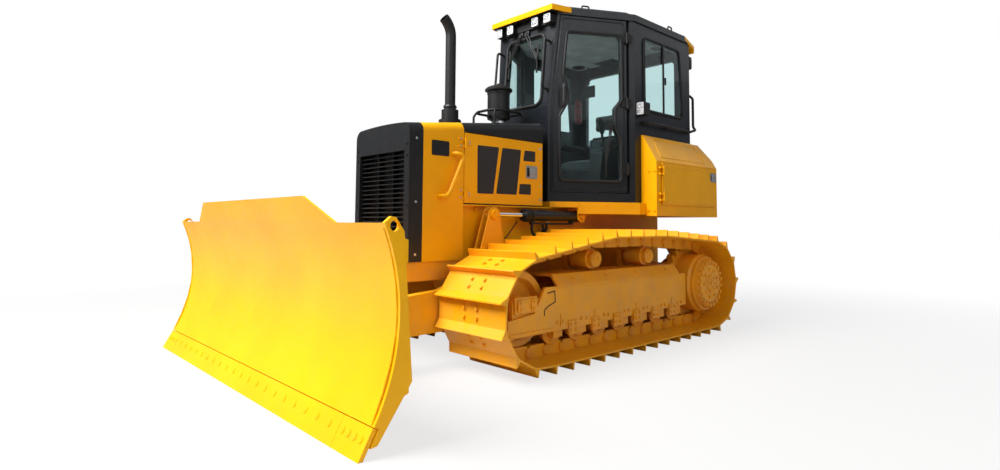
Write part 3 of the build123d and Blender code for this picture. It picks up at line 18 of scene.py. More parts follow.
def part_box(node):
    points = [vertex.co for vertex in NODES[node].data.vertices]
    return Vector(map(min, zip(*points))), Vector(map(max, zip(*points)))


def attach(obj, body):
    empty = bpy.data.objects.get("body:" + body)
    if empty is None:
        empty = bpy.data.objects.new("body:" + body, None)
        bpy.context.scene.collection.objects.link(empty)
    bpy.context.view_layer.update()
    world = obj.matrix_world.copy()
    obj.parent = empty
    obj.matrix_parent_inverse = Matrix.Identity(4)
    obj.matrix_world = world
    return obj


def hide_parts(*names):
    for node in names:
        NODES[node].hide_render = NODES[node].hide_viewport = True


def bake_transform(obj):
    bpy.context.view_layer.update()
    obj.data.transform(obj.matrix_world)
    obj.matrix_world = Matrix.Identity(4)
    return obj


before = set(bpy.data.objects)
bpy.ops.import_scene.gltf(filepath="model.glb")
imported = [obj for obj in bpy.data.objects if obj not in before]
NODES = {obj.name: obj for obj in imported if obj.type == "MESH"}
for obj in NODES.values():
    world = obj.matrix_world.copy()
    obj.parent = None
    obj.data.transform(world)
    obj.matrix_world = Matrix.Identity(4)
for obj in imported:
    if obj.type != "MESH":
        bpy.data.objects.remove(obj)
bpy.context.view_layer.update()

# %% [markdown]
# ## The camera
# The machine is seen from ahead and to its left, from about a metre above the ground. A wide
# lens close to the blade makes the blade large and the cab small behind it. The camera stands on a
# named spot, looks along a heading and tips up slightly, and a small shift lowers the frame instead
# of tipping further, which would make the uprights lean.

# %% Camera
CAMERA_AT = Vector((3.4765, 3.6818, 0.9747))
HEADING, PITCH, ROLL = 3.950, 0.0661, 0.0063


def new_object(name, data):
    """Object for a mesh, a lamp or a camera, linked to the scene."""
    obj = bpy.data.objects.new(name, data)
    bpy.context.scene.collection.objects.link(obj)
    return obj


def make_camera():
    """Camera with its place, heading, lens and shift."""
    data = bpy.data.cameras.new("camera")
    data.lens = 20.99
    data.sensor_width = 36.0
    data.shift_x, data.shift_y = -0.0092, -0.05
    data.clip_end = 200.0
    camera = new_object("camera", data)
    ahead = Vector((cos(HEADING) * cos(PITCH), sin(HEADING) * cos(PITCH), sin(PITCH)))
    turn = ahead.to_track_quat("-Z", "Y").to_matrix().to_4x4() @ Matrix.Rotation(ROLL, 4, "Z")
    camera.matrix_world = Matrix.Translation(CAMERA_AT) @ turn
    bpy.context.scene.camera = camera


make_camera()
print("camera at", tuple(round(c, 2) for c in CAMERA_AT))

# %% [markdown]
# ## Light and floor
# Glossy paint shows what is around it, so the studio is built from large soft lamps: a high key
# lamp ahead of the machine, which floods the blade and the tops of the track shoes, a wide weak fill
# high on its left, and a faint rim lamp behind. The white of the backdrop comes from the world as the
# camera sees it, and not from more light on the machine.

# %% Studio


def area_lamp(name, place, target, size, power):
    """Soft rectangular lamp at place, aimed at target."""
    data = bpy.data.lights.new(name, "AREA")
    data.shape = "RECTANGLE"
    data.size, data.size_y = size
    data.energy = power
    aim = Vector(target) - Vector(place)
    turn = aim.to_track_quat("-Z", "Y").to_matrix().to_4x4()
    new_object(name, data).matrix_world = Matrix.Translation(place) @ turn


area_lamp("key", (5.6, -1.2, 7.6), (0.6, 0, 0.8), (5, 5), 1650)
area_lamp("fill", (2.0, 7.8, 5.2), (0, 0, 1.0), (7, 4), 145)
area_lamp("rim", (-6.0, 3.0, 5.5), (-0.5, 0, 1.5), (4, 4), 30)


def make_world():
    """White to the camera and through glass, with a faint plain light on the machine."""
    world = bpy.data.worlds.new("studio")
    bpy.context.scene.world = world
    world.use_nodes = True
    nodes, links = world.node_tree.nodes, world.node_tree.links
    nodes.clear()
    out = nodes.new("ShaderNodeOutputWorld")
    mix = nodes.new("ShaderNodeMixShader")
    path = nodes.new("ShaderNodeLightPath")
    soft, white = nodes.new("ShaderNodeBackground"), nodes.new("ShaderNodeBackground")
    soft.inputs["Color"].default_value = (0.86, 0.9, 1.0, 1)
    soft.inputs["Strength"].default_value = 0.25
    white.inputs["Color"].default_value = (1, 1, 1, 1)
    seen = nodes.new("ShaderNodeMath")
    seen.operation = "MAXIMUM"
    links.new(path.outputs["Is Camera Ray"], seen.inputs[0])
    links.new(path.outputs["Is Transmission Ray"], seen.inputs[1])
    links.new(seen.outputs[0], mix.inputs["Fac"])
    links.new(soft.outputs[0], mix.inputs[1])
    links.new(white.outputs[0], mix.inputs[2])
    links.new(mix.outputs[0], out.inputs["Surface"])


def make_floor():
    """Pale plain floor that fades into the backdrop."""
    mesh = bpy.data.meshes.new("floor")
    far = 60.0
    mesh.from_pydata([(-far, -far, 0), (far, -far, 0), (far, far, 0), (-far, far, 0)], [], [(0, 1, 2, 3)])
    floor = new_object("floor", mesh)
    paint = bpy.data.materials.new("floor_pale")
    paint.use_nodes = True
    nodes, links = paint.node_tree.nodes, paint.node_tree.links
    shader, out = nodes["Principled BSDF"], nodes["Material Output"]
    shader.inputs["Base Color"].default_value = (0.55, 0.54, 0.52, 1)
    shader.inputs["Roughness"].default_value = 0.9
    shader.inputs["Specular IOR Level"].default_value = 0.1
    # round the machine the floor takes its shadow; further off it melts into the white backdrop
    place, distance = nodes.new("ShaderNodeTexCoord"), nodes.new("ShaderNodeVectorMath")
    distance.operation = "LENGTH"
    melt, white = nodes.new("ShaderNodeMapRange"), nodes.new("ShaderNodeEmission")
    mix = nodes.new("ShaderNodeMixShader")
    for label, value in (("From Min", 2.5), ("From Max", 7.0), ("To Min", 0.74), ("To Max", 1.0)):
        melt.inputs[label].default_value = value
    path, seen = nodes.new("ShaderNodeLightPath"), nodes.new("ShaderNodeMath")
    seen.operation = "MULTIPLY"
    links.new(place.outputs["Object"], distance.inputs[0])
    links.new(distance.outputs["Value"], melt.inputs["Value"])
    links.new(melt.outputs["Result"], seen.inputs[0])
    links.new(path.outputs["Is Camera Ray"], seen.inputs[1])
    links.new(seen.outputs[0], mix.inputs["Fac"])
    links.new(shader.outputs[0], mix.inputs[1])
    links.new(white.outputs[0], mix.inputs[2])
    links.new(mix.outputs[0], out.inputs["Surface"])
    mesh.materials.append(paint)


make_world()
make_floor()
bpy.context.scene.view_settings.view_transform = "Standard"
print("studio: three lamps, floor and world")

# %% [markdown]
# ## Building shader groups
# Several finishes share the same effects: a paint film that is never perfectly even, dust that
# settles low down, a moulded grain, a weave. Each effect is a node group, built once and placed in a
# material with its own numbers. A small helper adds nodes and joins them, so that a group reads as
# a short list of steps. The patterns run on Object coordinates, which are metres on the machine.

# %% Node helpers


def make_group(name, inputs, outputs):
    """New shader group with float or colour sockets; returns the tree and its two ends."""
    tree = bpy.data.node_groups.new(name, "ShaderNodeTree")
    for label, value in inputs:
        kind = "NodeSocketColor" if isinstance(value, tuple) else "NodeSocketFloat"
        tree.interface.new_socket(label, in_out="INPUT", socket_type=kind).default_value = value
    for label, kind in outputs:
        tree.interface.new_socket(label, in_out="OUTPUT", socket_type=kind)
    return tree, tree.nodes.new("NodeGroupInput"), tree.nodes.new("NodeGroupOutput")


def feed(tree, node, key, value):
    """Join a socket to one input of a node, or set that input to a plain value."""
    if isinstance(value, bpy.types.NodeSocket):
        tree.links.new(value, node.inputs[key])
    else:
        node.inputs[key].default_value = value


def add(tree, kind, inputs=(), **settings):
    """Add a node, set its properties, and feed its inputs."""
    node = tree.nodes.new(kind)
    for key, value in settings.items():
        setattr(node, key, value)
    for key, value in dict(inputs).items():
        feed(tree, node, key, value)
    return node


def calc(tree, operation, *terms):
    """Result of a Math node on sockets and numbers."""
    return add(tree, "ShaderNodeMath", enumerate(terms), operation=operation).outputs[0]


def mix_colours(tree, factor, first, second):
    """Colour between two others; 6, 7 and 2 are the colour sockets of a Mix node."""
    return add(tree, "ShaderNodeMix", {"Factor": factor, 6: first, 7: second}, data_type="RGBA").outputs[2]


def object_place(tree):
    """Object coordinates, in metres on the machine."""
    return add(tree, "ShaderNodeTexCoord").outputs["Object"]


def object_noise(tree, scale, detail=3.0, rough=0.5):
    """Value of a noise on Object coordinates."""
    return add(tree, "ShaderNodeTexNoise", {"Vector": object_place(tree), "Scale": scale, "Detail": detail,
                                            "Roughness": rough}).outputs["Fac"]


def remap(tree, socket, low, high, to_low=0.0, to_high=1.0):
    """Map Range node from low..high to to_low..to_high, clamped."""
    return add(tree, "ShaderNodeMapRange", {"Value": socket, "From Min": low, "From Max": high,
                                            "To Min": to_low, "To Max": to_high}).outputs["Result"]


# %% [markdown]
# ### The paint film
# Sprayed enamel has three things that a flat colour lacks: slow drifts in depth of colour, a fine
# orange peel that breaks up reflections, and a breath of dust that grows towards the ground. The
# group takes the colour and the amounts, and puts out a colour, a roughness and a height.

# %% Paint film group


DUST_COLOUR = (0.42, 0.32, 0.2, 1)
COLOUR_OUT = ("Colour", "NodeSocketColor")
ROUGHNESS_OUT = ("Roughness", "NodeSocketFloat")
HEIGHT_OUT = ("Height", "NodeSocketFloat")


def paint_film_group():
    """Uneven enamel with dust low down."""
    tree, ends, out = make_group("paint_film",
                                 [("Colour", (0.8, 0.5, 0.05, 1)), ("Dust", 0.2), ("Gloss", 0.3)],
                                 [COLOUR_OUT, ROUGHNESS_OUT, HEIGHT_OUT])
    colour = ends.outputs["Colour"]
    darker = add(tree, "ShaderNodeHueSaturation", {"Color": colour, "Value": 0.88, "Saturation": 1.04})
    depth = remap(tree, object_noise(tree, 2.3), 0.35, 0.7)
    toned = mix_colours(tree, depth, colour, darker.outputs["Color"])
    # dust lies low on the machine, in patches
    split = add(tree, "ShaderNodeSeparateXYZ", {"Vector": object_place(tree)})
    low_down = remap(tree, split.outputs["Z"], 0.0, 1.3, 1.0, 0.12)
    patchy = remap(tree, object_noise(tree, 9.0, 5.0, 0.65), 0.42, 0.72)
    dusty = calc(tree, "MULTIPLY", calc(tree, "MULTIPLY", low_down, patchy), ends.outputs["Dust"])
    tree.links.new(mix_colours(tree, dusty, toned, DUST_COLOUR), out.inputs["Colour"])
    spread = remap(tree, object_noise(tree, 21.0, 4.0), 0.3, 0.7, -0.05, 0.07)
    rough = calc(tree, "ADD", ends.outputs["Gloss"], spread)
    tree.links.new(calc(tree, "MULTIPLY_ADD", dusty, 0.5, rough), out.inputs["Roughness"])
    tree.links.new(object_noise(tree, 190.0, 2.0), out.inputs["Height"])
    return tree


PAINT_FILM = paint_film_group()
print("group:", PAINT_FILM.name)

# %% [markdown]
# ### Grain, weave and holes
# Moulded plastic and rubber carry a pebbled grain, which a cell pattern gives. Seat cloth is a plain
# weave: two crossed waves, of which the higher shows at each place, paler on the thread crowns as
# painted highlight and darker in the dips as painted shade. Pressed guards are sheets full of
# small round holes in staggered rows; the group gives a mask that is one in a hole.

# %% Grain, weave and hole groups


def moulded_grain_group():
    """Pebbled grain of moulded plastic and rubber, with cloudy wear."""
    tree, ends, out = make_group("moulded_grain", [("Size", 600.0), ("Colour", (0.03, 0.03, 0.03, 1))],
                                 [COLOUR_OUT, ROUGHNESS_OUT, HEIGHT_OUT])
    cells = add(tree, "ShaderNodeTexVoronoi", {"Vector": object_place(tree), "Scale": ends.outputs["Size"]})
    tree.links.new(cells.outputs["Distance"], out.inputs["Height"])
    cloudy = object_noise(tree, 7.0, 4.0)
    colour = ends.outputs["Colour"]
    paler = add(tree, "ShaderNodeHueSaturation", {"Color": colour, "Value": 1.6}).outputs["Color"]
    mixed = mix_colours(tree, remap(tree, cloudy, 0.4, 0.8), colour, paler)
    tree.links.new(mixed, out.inputs["Colour"])
    tree.links.new(remap(tree, cloudy, 0.3, 0.7, 0.5, 0.68), out.inputs["Roughness"])
    return tree


def plain_weave_group():
    """Two crossed waves, of which the higher shows; the colour is paler on the crowns as painted highlight
    and darker in the dips as painted shade.
    """
    tree, ends, out = make_group("plain_weave", [("Threads", 900.0), ("Colour", (0.05, 0.05, 0.055, 1))],
                                 [COLOUR_OUT, HEIGHT_OUT])
    place = object_place(tree)
    heights = [add(tree, "ShaderNodeTexWave", {"Vector": place, "Scale": ends.outputs["Threads"],
                                               "Distortion": 0.4, "Detail": 1.0},
                   bands_direction=direction).outputs["Fac"] for direction in ("X", "Y")]
    top = calc(tree, "MAXIMUM", *heights)
    tree.links.new(top, out.inputs["Height"])
    colour = ends.outputs["Colour"]
    # painted highlight and shade: the colour runs from the given one in the dips to a paler one on the thread
    # crowns
    paler = add(tree, "ShaderNodeHueSaturation", {"Color": colour, "Value": 2.2}).outputs["Color"]
    tree.links.new(mix_colours(tree, top, colour, paler), out.inputs["Colour"])
    return tree


def punched_holes_group():
    """Holes in staggered rows on the machine's X and Z, as on its side panels."""
    tree, ends, out = make_group("punched_holes", [("Pitch", 0.011), ("Radius", 0.3)],
                                 [("Hole", "NodeSocketFloat")])
    split = add(tree, "ShaderNodeSeparateXYZ", {"Vector": object_place(tree)})
    row = calc(tree, "DIVIDE", split.outputs["Z"], ends.outputs["Pitch"])
    odd = calc(tree, "MODULO", calc(tree, "FLOOR", row), 2.0)
    along = calc(tree, "DIVIDE", split.outputs["X"], ends.outputs["Pitch"])
    # every other row is shifted by half a pitch
    u = calc(tree, "FRACT", calc(tree, "MULTIPLY_ADD", odd, 0.5, along))
    spot = add(tree, "ShaderNodeCombineXYZ", {"X": u, "Y": calc(tree, "FRACT", row)})
    middle = add(tree, "ShaderNodeVectorMath", {0: spot.outputs[0], 1: (0.5, 0.5, 0.0)}, operation="DISTANCE")
    inside = calc(tree, "LESS_THAN", middle.outputs["Value"], ends.outputs["Radius"])
    tree.links.new(inside, out.inputs["Hole"])
    return tree


MOULDED_GRAIN = moulded_grain_group()
PLAIN_WEAVE = plain_weave_group()
PUNCHED_HOLES = punched_holes_group()
print("groups:", MOULDED_GRAIN.name, PLAIN_WEAVE.name, PUNCHED_HOLES.name)

# %% [markdown]
# ## The finishes
# Each finish is one material, and one short function makes each family. Paint is a coated
# dielectric: the film's colour and roughness come from the group, and a clear coat gives the crisp
# highlight. Colours are chosen as numbers on a linear scale, so a golden construction yellow has a
# full red, less than half as much green, and next to no blue.

# %% Painted finishes


def new_material(name, **sockets):
    """Principled material with plain values on the shader's own sockets."""
    material = bpy.data.materials.new(name)
    material.use_nodes = True
    shader = material.node_tree.nodes["Principled BSDF"]
    for label, value in sockets.items():
        shader.inputs[label.replace("_", " ")].default_value = value
    return material, material.node_tree, shader


def use_group(tree, shader, group, joins, **values):
    """Place a group with its own numbers, and join its outputs to the shader."""
    node = add(tree, "ShaderNodeGroup", values, node_tree=group)
    for label, socket in joins:
        tree.links.new(node.outputs[label], shader.inputs[socket])
    return node


def bump_from(tree, shader, socket, distance, strength):
    """Raise the shader's surface by a height."""
    bump = add(tree, "ShaderNodeBump", {"Height": socket, "Distance": distance, "Strength": strength})
    tree.links.new(bump.outputs["Normal"], shader.inputs["Normal"])


COLOUR_JOIN = ("Colour", "Base Color")
ROUGHNESS_JOIN = ("Roughness", "Roughness")


def paint(name, colour, dust=0.2, gloss=0.3, coat=0.12, shine=0.3):
    """Sprayed enamel."""
    material, tree, shader = new_material(name, Coat_Weight=coat, Coat_Roughness=0.08,
                                          Specular_IOR_Level=shine)
    film = use_group(tree, shader, PAINT_FILM, (COLOUR_JOIN, ROUGHNESS_JOIN), Colour=(*colour, 1),
                     Dust=dust, Gloss=gloss)
    bump_from(tree, shader, film.outputs["Height"], 0.0004, 0.35)
    return material


GOLD = (0.94, 0.425, 0.001)
yellow = paint("golden_enamel", GOLD, dust=0.06, gloss=0.32, coat=0.08, shine=0.2)
# painted light: the blade's enamel is a lighter, greener copy of the golden enamel, for the strong light on
# the blade
blade_lit_yellow = paint("blade_lit_enamel", (0.94, 0.455, 0.001), dust=0.03, gloss=0.38, coat=0.06, shine=0.2)
track_yellow = paint("track_enamel", (0.92, 0.40, 0.004), dust=0.16, gloss=0.42)
frame_yellow = paint("running_gear_enamel", (0.86, 0.36, 0.012), dust=0.3, gloss=0.45)
cab_black = paint("cab_enamel", (0.008, 0.0105, 0.0135), dust=0.03, gloss=0.34, coat=0.15)
hood_black = paint("hood_enamel", (0.010, 0.011, 0.012), dust=0.04, gloss=0.42, coat=0.1)
part_black = paint("fittings_enamel", (0.009, 0.009, 0.009), dust=0.08, gloss=0.5, coat=0.05)
cast_grey = paint("casting_enamel", (0.10, 0.105, 0.11), dust=0.5, gloss=0.6, coat=0.0)
red_enamel = paint("red_enamel", (0.20, 0.01, 0.012), dust=0.05, gloss=0.3)
print("painted finishes made")

# %% [markdown]
# Metal, plastic, rubber, cloth and glass each have their own way with light. Chrome is all
# reflection and needs only faint scuffs. Zinc on latches is duller and slightly yellow. Glass keeps
# a plain full transmission, and a faint blue-green in its colour. A lamp is a clear lens over
# bright polished metal.

# %% Metal, plastic, cloth and glass


def metal(name, colour, rough, marks=40.0, spread=0.08):
    """Bare metal whose polish varies a little."""
    material, tree, shader = new_material(name, Base_Color=(*colour, 1), Metallic=1.0)
    scuffs = object_noise(tree, marks, 6.0, 0.6)
    tree.links.new(remap(tree, scuffs, 0.3, 0.7, rough, rough + spread), shader.inputs["Roughness"])
    bump_from(tree, shader, scuffs, 0.0002, 0.15)
    return material


def grained(name, colour, size=600.0, depth=0.0006):
    """Moulded plastic or rubber with a pebbled grain."""
    material, tree, shader = new_material(name, Specular_IOR_Level=0.35)
    grain = use_group(tree, shader, MOULDED_GRAIN, (COLOUR_JOIN, ROUGHNESS_JOIN), Size=size,
                      Colour=(*colour, 1))
    bump_from(tree, shader, grain.outputs["Height"], depth, 0.3)
    return material


def seat_weave():
    """Dark woven cloth with a soft sheen."""
    material, tree, shader = new_material("seat_weave", Roughness=0.85, Sheen_Weight=0.25)
    # the weave paints its thread crowns paler and its dips darker, as painted highlight and painted shade
    weave = use_group(tree, shader, PLAIN_WEAVE, (COLOUR_JOIN,), Threads=260.0,
                      Colour=(0.03, 0.032, 0.036, 1))
    bump_from(tree, shader, weave.outputs["Height"], 0.0008, 0.5)
    return material


def punched_sheet():
    """Black sheet with rows of small holes, on the engine doors; the holes are painted near black as the
    shade behind them.
    """
    material, tree, shader = new_material("punched_sheet", Roughness=0.5)
    hole = use_group(tree, shader, PUNCHED_HOLES, (), Pitch=0.009, Radius=0.34).outputs["Hole"]
    # painted shade: the holes are coloured near black, as the shade behind them
    painted_hole_shade = mix_colours(tree, hole, (0.022, 0.023, 0.026, 1), (0.002, 0.002, 0.002, 1))
    tree.links.new(painted_hole_shade, shader.inputs["Base Color"])
    bump_from(tree, shader, calc(tree, "SUBTRACT", 1.0, hole), 0.0015, 0.6)
    return material


def glass(name, colour, rough=0.01):
    """Clear glass with a slightly uneven polish."""
    material, tree, shader = new_material(name, Base_Color=(*colour, 1), Transmission_Weight=1.0, IOR=1.18)
    film = object_noise(tree, 3.0, 5.0, 0.6)
    tree.links.new(remap(tree, film, 0.4, 0.8, rough, rough + 0.03), shader.inputs["Roughness"])
    return material


chrome = metal("rod_chrome", (0.78, 0.79, 0.8), 0.06, marks=25.0)
zinc = metal("latch_zinc", (0.62, 0.62, 0.6), 0.3)
steel = metal("bare_steel", (0.45, 0.44, 0.42), 0.35)
rubber = grained("seal_rubber", (0.012, 0.012, 0.012), 900.0, 0.0003)
hose_rubber = grained("hose_rubber", (0.014, 0.014, 0.015), 500.0, 0.0004)
plastic = grained("cab_plastic", (0.022, 0.023, 0.025), 700.0)
pale_plastic = grained("headliner", (0.50, 0.52, 0.53), 500.0, 0.0004)
mat_rubber = grained("floor_mat", (0.02, 0.02, 0.02), 120.0, 0.002)
seat_cloth = seat_weave()
punched = punched_sheet()
clear_glass = glass("window_glass", (0.70, 0.84, 0.84))
lens_glass = glass("lens_glass", (0.95, 0.96, 0.97), 0.03)
mirror_bowl = metal("lamp_bowl", (0.9, 0.9, 0.92), 0.12, marks=300.0, spread=0.2)
print("materials:", len(bpy.data.materials))

# %% [markdown]
# ## Finishing the solids
# Each solid keeps its shape and takes one finish. The machine is golden where sheet metal covers it,
# near black on the cab and the hood's top, and the running gear has a browner enamel with more dust.
# The blade's enamel is a lighter, greener copy of the golden one: painted light for the strong light
# that falls on the blade.
# The list below reads as the spray shop's order: a finish, then the pieces that get it.

# %% Finish of each solid
FINISHES = [
    (yellow, ["front_hood", "engine_door_left", "engine_door_right", "engine_sides", "deck", "side_boxes",
              "box_door_left", "box_door_right", "fuel_tank", "main_case", "visor", "roof_cap"]),
    (blade_lit_yellow, ["blade", "cutting_edge"]),
    (track_yellow, ["track_left", "track_right", "push_frame", "blade_carrier", "blade_bracket"]),
    (frame_yellow, ["track_frames", "track_rollers", "idlers", "sprockets", "final_drives", "engine_frame"]),
    (cab_black, ["cab_floor", "cab_front", "cab_sides", "cab_rear", "cab_roof", "cab_door_left",
                 "cab_door_right", "lifting_eyes", "lift_barrel_left", "lift_barrel_right"]),
    (hood_black, ["hood_top", "grille_frame"]),
    (part_black, ["grille", "hand_rails", "exhaust_stack", "air_cleaner", "drawbar", "work_lamps",
                  "angle_barrel_left", "angle_barrel_right", "tilt_barrel"]),
    (chrome, ["lift_rod_left", "lift_rod_right", "angle_rod_left", "angle_rod_right", "tilt_rod"]),
    (clear_glass, ["cab_glass", "door_glass_left", "door_glass_right"]),
    (cast_grey, ["engine_block"]),
    (plastic, ["seat_base", "consoles"]),
    (seat_cloth, ["seat_cushion", "seat_back"]),
]


def finish_solids():
    """Give every listed solid its finish; returns the names that the list leaves out."""
    for material, names in FINISHES:
        for name in names:
            mesh = NODES[name].data
            mesh.materials.clear()
            mesh.materials.append(material)
    dressed = {name for _, names in FINISHES for name in names}
    return sorted(set(NODES) - dressed)


print("solids without a finish:", finish_solids())

# %% [markdown]
# ## Tools for small pieces
# Added pieces are built straight into a mesh, in place, so that each object can stay at the origin.
# The helpers here make the shapes that sheet-metal work is full of: blocks with eased edges, round
# bars from one point to another, plates cut to an outline, and bent tubes. A finished piece takes its
# finish and names the body that it rides on.


def settle(obj, material, body, slot, angle=35.0):
    """Give a mesh piece its finish, soft shading up to an angle and its body; slot is not used."""
    mesh = obj.data
    mesh.materials.clear()
    mesh.materials.append(material)
    mesh.polygons.foreach_set("use_smooth", [True] * len(mesh.polygons))
    mesh.set_sharp_from_angle(angle=radians(angle))
    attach(obj, body)
    return obj


def from_bmesh(name, bm):
    """Turn a bmesh into an object, with its normals outward."""
    bmesh.ops.recalc_face_normals(bm, faces=bm.faces)
    mesh = bpy.data.meshes.new(name)
    bm.to_mesh(mesh)
    bm.free()
    return new_object(name, mesh)


def piece(name, bm, material, body, slot, angle=35.0):
    """Turn a finished bmesh into a piece of the machine."""
    return settle(from_bmesh(name, bm), material, body, slot, angle)


def evaluated(obj):
    """The object's mesh with its modifiers in it."""
    bpy.context.view_layer.update()
    shaped = obj.evaluated_get(bpy.context.evaluated_depsgraph_get())
    return bpy.data.meshes.new_from_object(shaped)


def block(bm, low, high, ease=0.0, place=None):
    """Box between two corners, with eased edges."""
    low, high = Vector(low), Vector(high)
    made = bmesh.ops.create_cube(bm, size=1.0)["verts"]
    for v in made:
        v.co = Vector([(low[i] + high[i]) / 2 + v.co[i] * (high[i] - low[i]) for i in range(3)])
    if ease:
        edges = {e for v in made for e in v.link_edges}
        eased = bmesh.ops.bevel(bm, geom=list(edges), offset=ease, segments=3, profile=0.5, affect="EDGES")
        made = list({v for f in eased["faces"] for v in f.verts} | {v for v in made if v.is_valid})
    if place:
        bmesh.ops.transform(bm, matrix=place, verts=made)
    return made


def bar(bm, start, end, radius, end_radius=None, sides=20):
    """Round bar, or a cone if the end has its own radius."""
    start, end = Vector(start), Vector(end)
    run = end - start
    turn = run.to_track_quat("Z", "Y").to_matrix().to_4x4()
    place = Matrix.Translation((start + end) / 2) @ turn
    return bmesh.ops.create_cone(bm, cap_ends=True, segments=sides, radius1=radius, depth=run.length,
                                 radius2=radius if end_radius is None else end_radius, matrix=place)["verts"]


def plate(bm, outline, origin, right, up, thick):
    """Flat plate: an outline in two directions from an origin, thickened along their cross product."""
    origin, right, up = Vector(origin), Vector(right), Vector(up)
    face = bm.faces.new([bm.verts.new(origin + right * u + up * v) for u, v in outline])
    grown = bmesh.ops.extrude_face_region(bm, geom=[face])["geom"]
    verts = [g for g in grown if isinstance(g, bmesh.types.BMVert)]
    bmesh.ops.translate(bm, vec=right.cross(up).normalized() * thick, verts=verts)


def rounded(width, height, radius, steps=6, middle=(0, 0)):
    """Outline of a rectangle with round corners."""
    corners = [(1, 1, 0), (-1, 1, 90), (-1, -1, 180), (1, -1, 270)]
    outline = []
    for sx, sy, start in corners:
        for i in range(steps + 1):
            a = radians(start + 90 * i / steps)
            outline.append((middle[0] + sx * (width / 2 - radius) + radius * cos(a),
                            middle[1] + sy * (height / 2 - radius) + radius * sin(a)))
    return outline


def corner_arc(start, corner, end, steps):
    """Points of a soft curve from start to end, drawn towards a corner."""
    shares = [i / steps for i in range(steps + 1)]
    return [start * (1 - t) ** 2 + corner * 2 * t * (1 - t) + end * t ** 2 for t in shares]


def bent_line(points, radius, steps=6):
    """Points of a line whose inner corners are rounded with arcs."""
    points = [Vector(p) for p in points]
    line = [points[0]]
    for before, corner, after in zip(points, points[1:], points[2:]):
        a, b = (before - corner).normalized(), (after - corner).normalized()
        half = a.angle(b) / 2
        reach = min(radius / max(0.05, abs(sin(half) / cos(half))), (before - corner).length * 0.49,
                    (after - corner).length * 0.49)
        line += corner_arc(corner + a * reach, corner, corner + b * reach, steps)
    line.append(points[-1])
    return line


def tube(name, points, radius, material, body, slot, bend=0.0, closed=False, sides=3):
    """Round tube along a line, made with a bevelled curve and turned into a mesh."""
    line = bent_line(points, bend) if bend else [Vector(p) for p in points]
    data = bpy.data.curves.new(name, "CURVE")
    data.dimensions, data.bevel_depth, data.bevel_resolution = "3D", radius, sides
    data.use_fill_caps = True
    spline = data.splines.new("POLY")
    spline.points.add(len(line) - 1)
    for point, p in zip(spline.points, line):
        point.co = (*p, 1)
    spline.use_cyclic_u = closed
    curve = new_object(name + "_line", data)
    mesh = evaluated(curve)
    bpy.data.objects.remove(curve)
    mesh.name = name
    return settle(new_object(name, mesh), material, body, slot, 60)


print("helpers ready")

# %% [markdown]
# ## Bolts by the hundred
# A machine like this shows several hundred bolt heads. Geometry Nodes can put one on every point of
# a mesh, turned to a direction that each point carries, so a row of bolts is a short list of points.
# A tree stacks a few cylinders, each a share of the tree's two sizes: a washer and a six-sided head
# make a bolt, and three round steps make the boss of a track pin. Realizing the instances at the end
# gives a plain mesh, which is what other programs can read.

# %% Bolt tree


def stud_tree(name, sizes, shapes):
    """Geometry Nodes tree that stacks cylinders at every point, along its direction.

    sizes names the socket for the width and the one for the height, with their plain values. A shape
    is its count of sides, its radius as a share of the width, and its depth and the height of its
    middle as shares of the height."""
    tree = bpy.data.node_groups.new(name, "GeometryNodeTree")
    sockets = tree.interface
    sockets.new_socket("Geometry", in_out="INPUT", socket_type="NodeSocketGeometry")
    for label, value in sizes:
        sockets.new_socket(label, in_out="INPUT", socket_type="NodeSocketFloat").default_value = value
    sockets.new_socket("Material", in_out="INPUT", socket_type="NodeSocketMaterial")
    sockets.new_socket("Geometry", in_out="OUTPUT", socket_type="NodeSocketGeometry")
    ends, out = tree.nodes.new("NodeGroupInput"), tree.nodes.new("NodeGroupOutput")
    width, height = [ends.outputs[label] for label, _ in sizes]
    joined = add(tree, "GeometryNodeJoinGeometry")
    for sides, radius, depth, rise in shapes:
        body = add(tree, "GeometryNodeMeshCylinder", {"Vertices": sides,
                                                      "Radius": calc(tree, "MULTIPLY", width, radius),
                                                      "Depth": calc(tree, "MULTIPLY", height, depth)})
        lift = add(tree, "ShaderNodeCombineXYZ", {"Z": calc(tree, "MULTIPLY", height, rise)})
        moved = add(tree, "GeometryNodeTransform", {"Geometry": body.outputs["Mesh"],
                                                    "Translation": lift.outputs[0]})
        tree.links.new(moved.outputs["Geometry"], joined.inputs[0])
    way = add(tree, "GeometryNodeInputNamedAttribute", {"Name": "way"}, data_type="FLOAT_VECTOR")
    turn = add(tree, "FunctionNodeAlignRotationToVector", {"Vector": way.outputs[0]}, axis="Z")
    placed = add(tree, "GeometryNodeInstanceOnPoints", {"Points": ends.outputs["Geometry"],
                                                        "Instance": joined.outputs[0],
                                                        "Rotation": turn.outputs[0]})
    real = add(tree, "GeometryNodeRealizeInstances", {"Geometry": placed.outputs[0]})
    coated = add(tree, "GeometryNodeSetMaterial", {"Geometry": real.outputs[0],
                                                   "Material": ends.outputs["Material"]})
    tree.links.new(coated.outputs[0], out.inputs["Geometry"])
    return tree


BOLT_TREE = stud_tree("hex_bolts", (("Across", 0.024), ("Height", 0.012)),
                      ((6, 0.5, 1.0, 0.5), (14, 0.66, 0.22, 0.11)))
BOSS_TREE = stud_tree("pin_bosses", (("Radius", 0.028), ("Depth", 0.012)),
                      ((20, 1.0, 1.0, 0.5), (20, 0.72, 0.5, 1.12), (20, 0.28, 0.4, 1.45)))


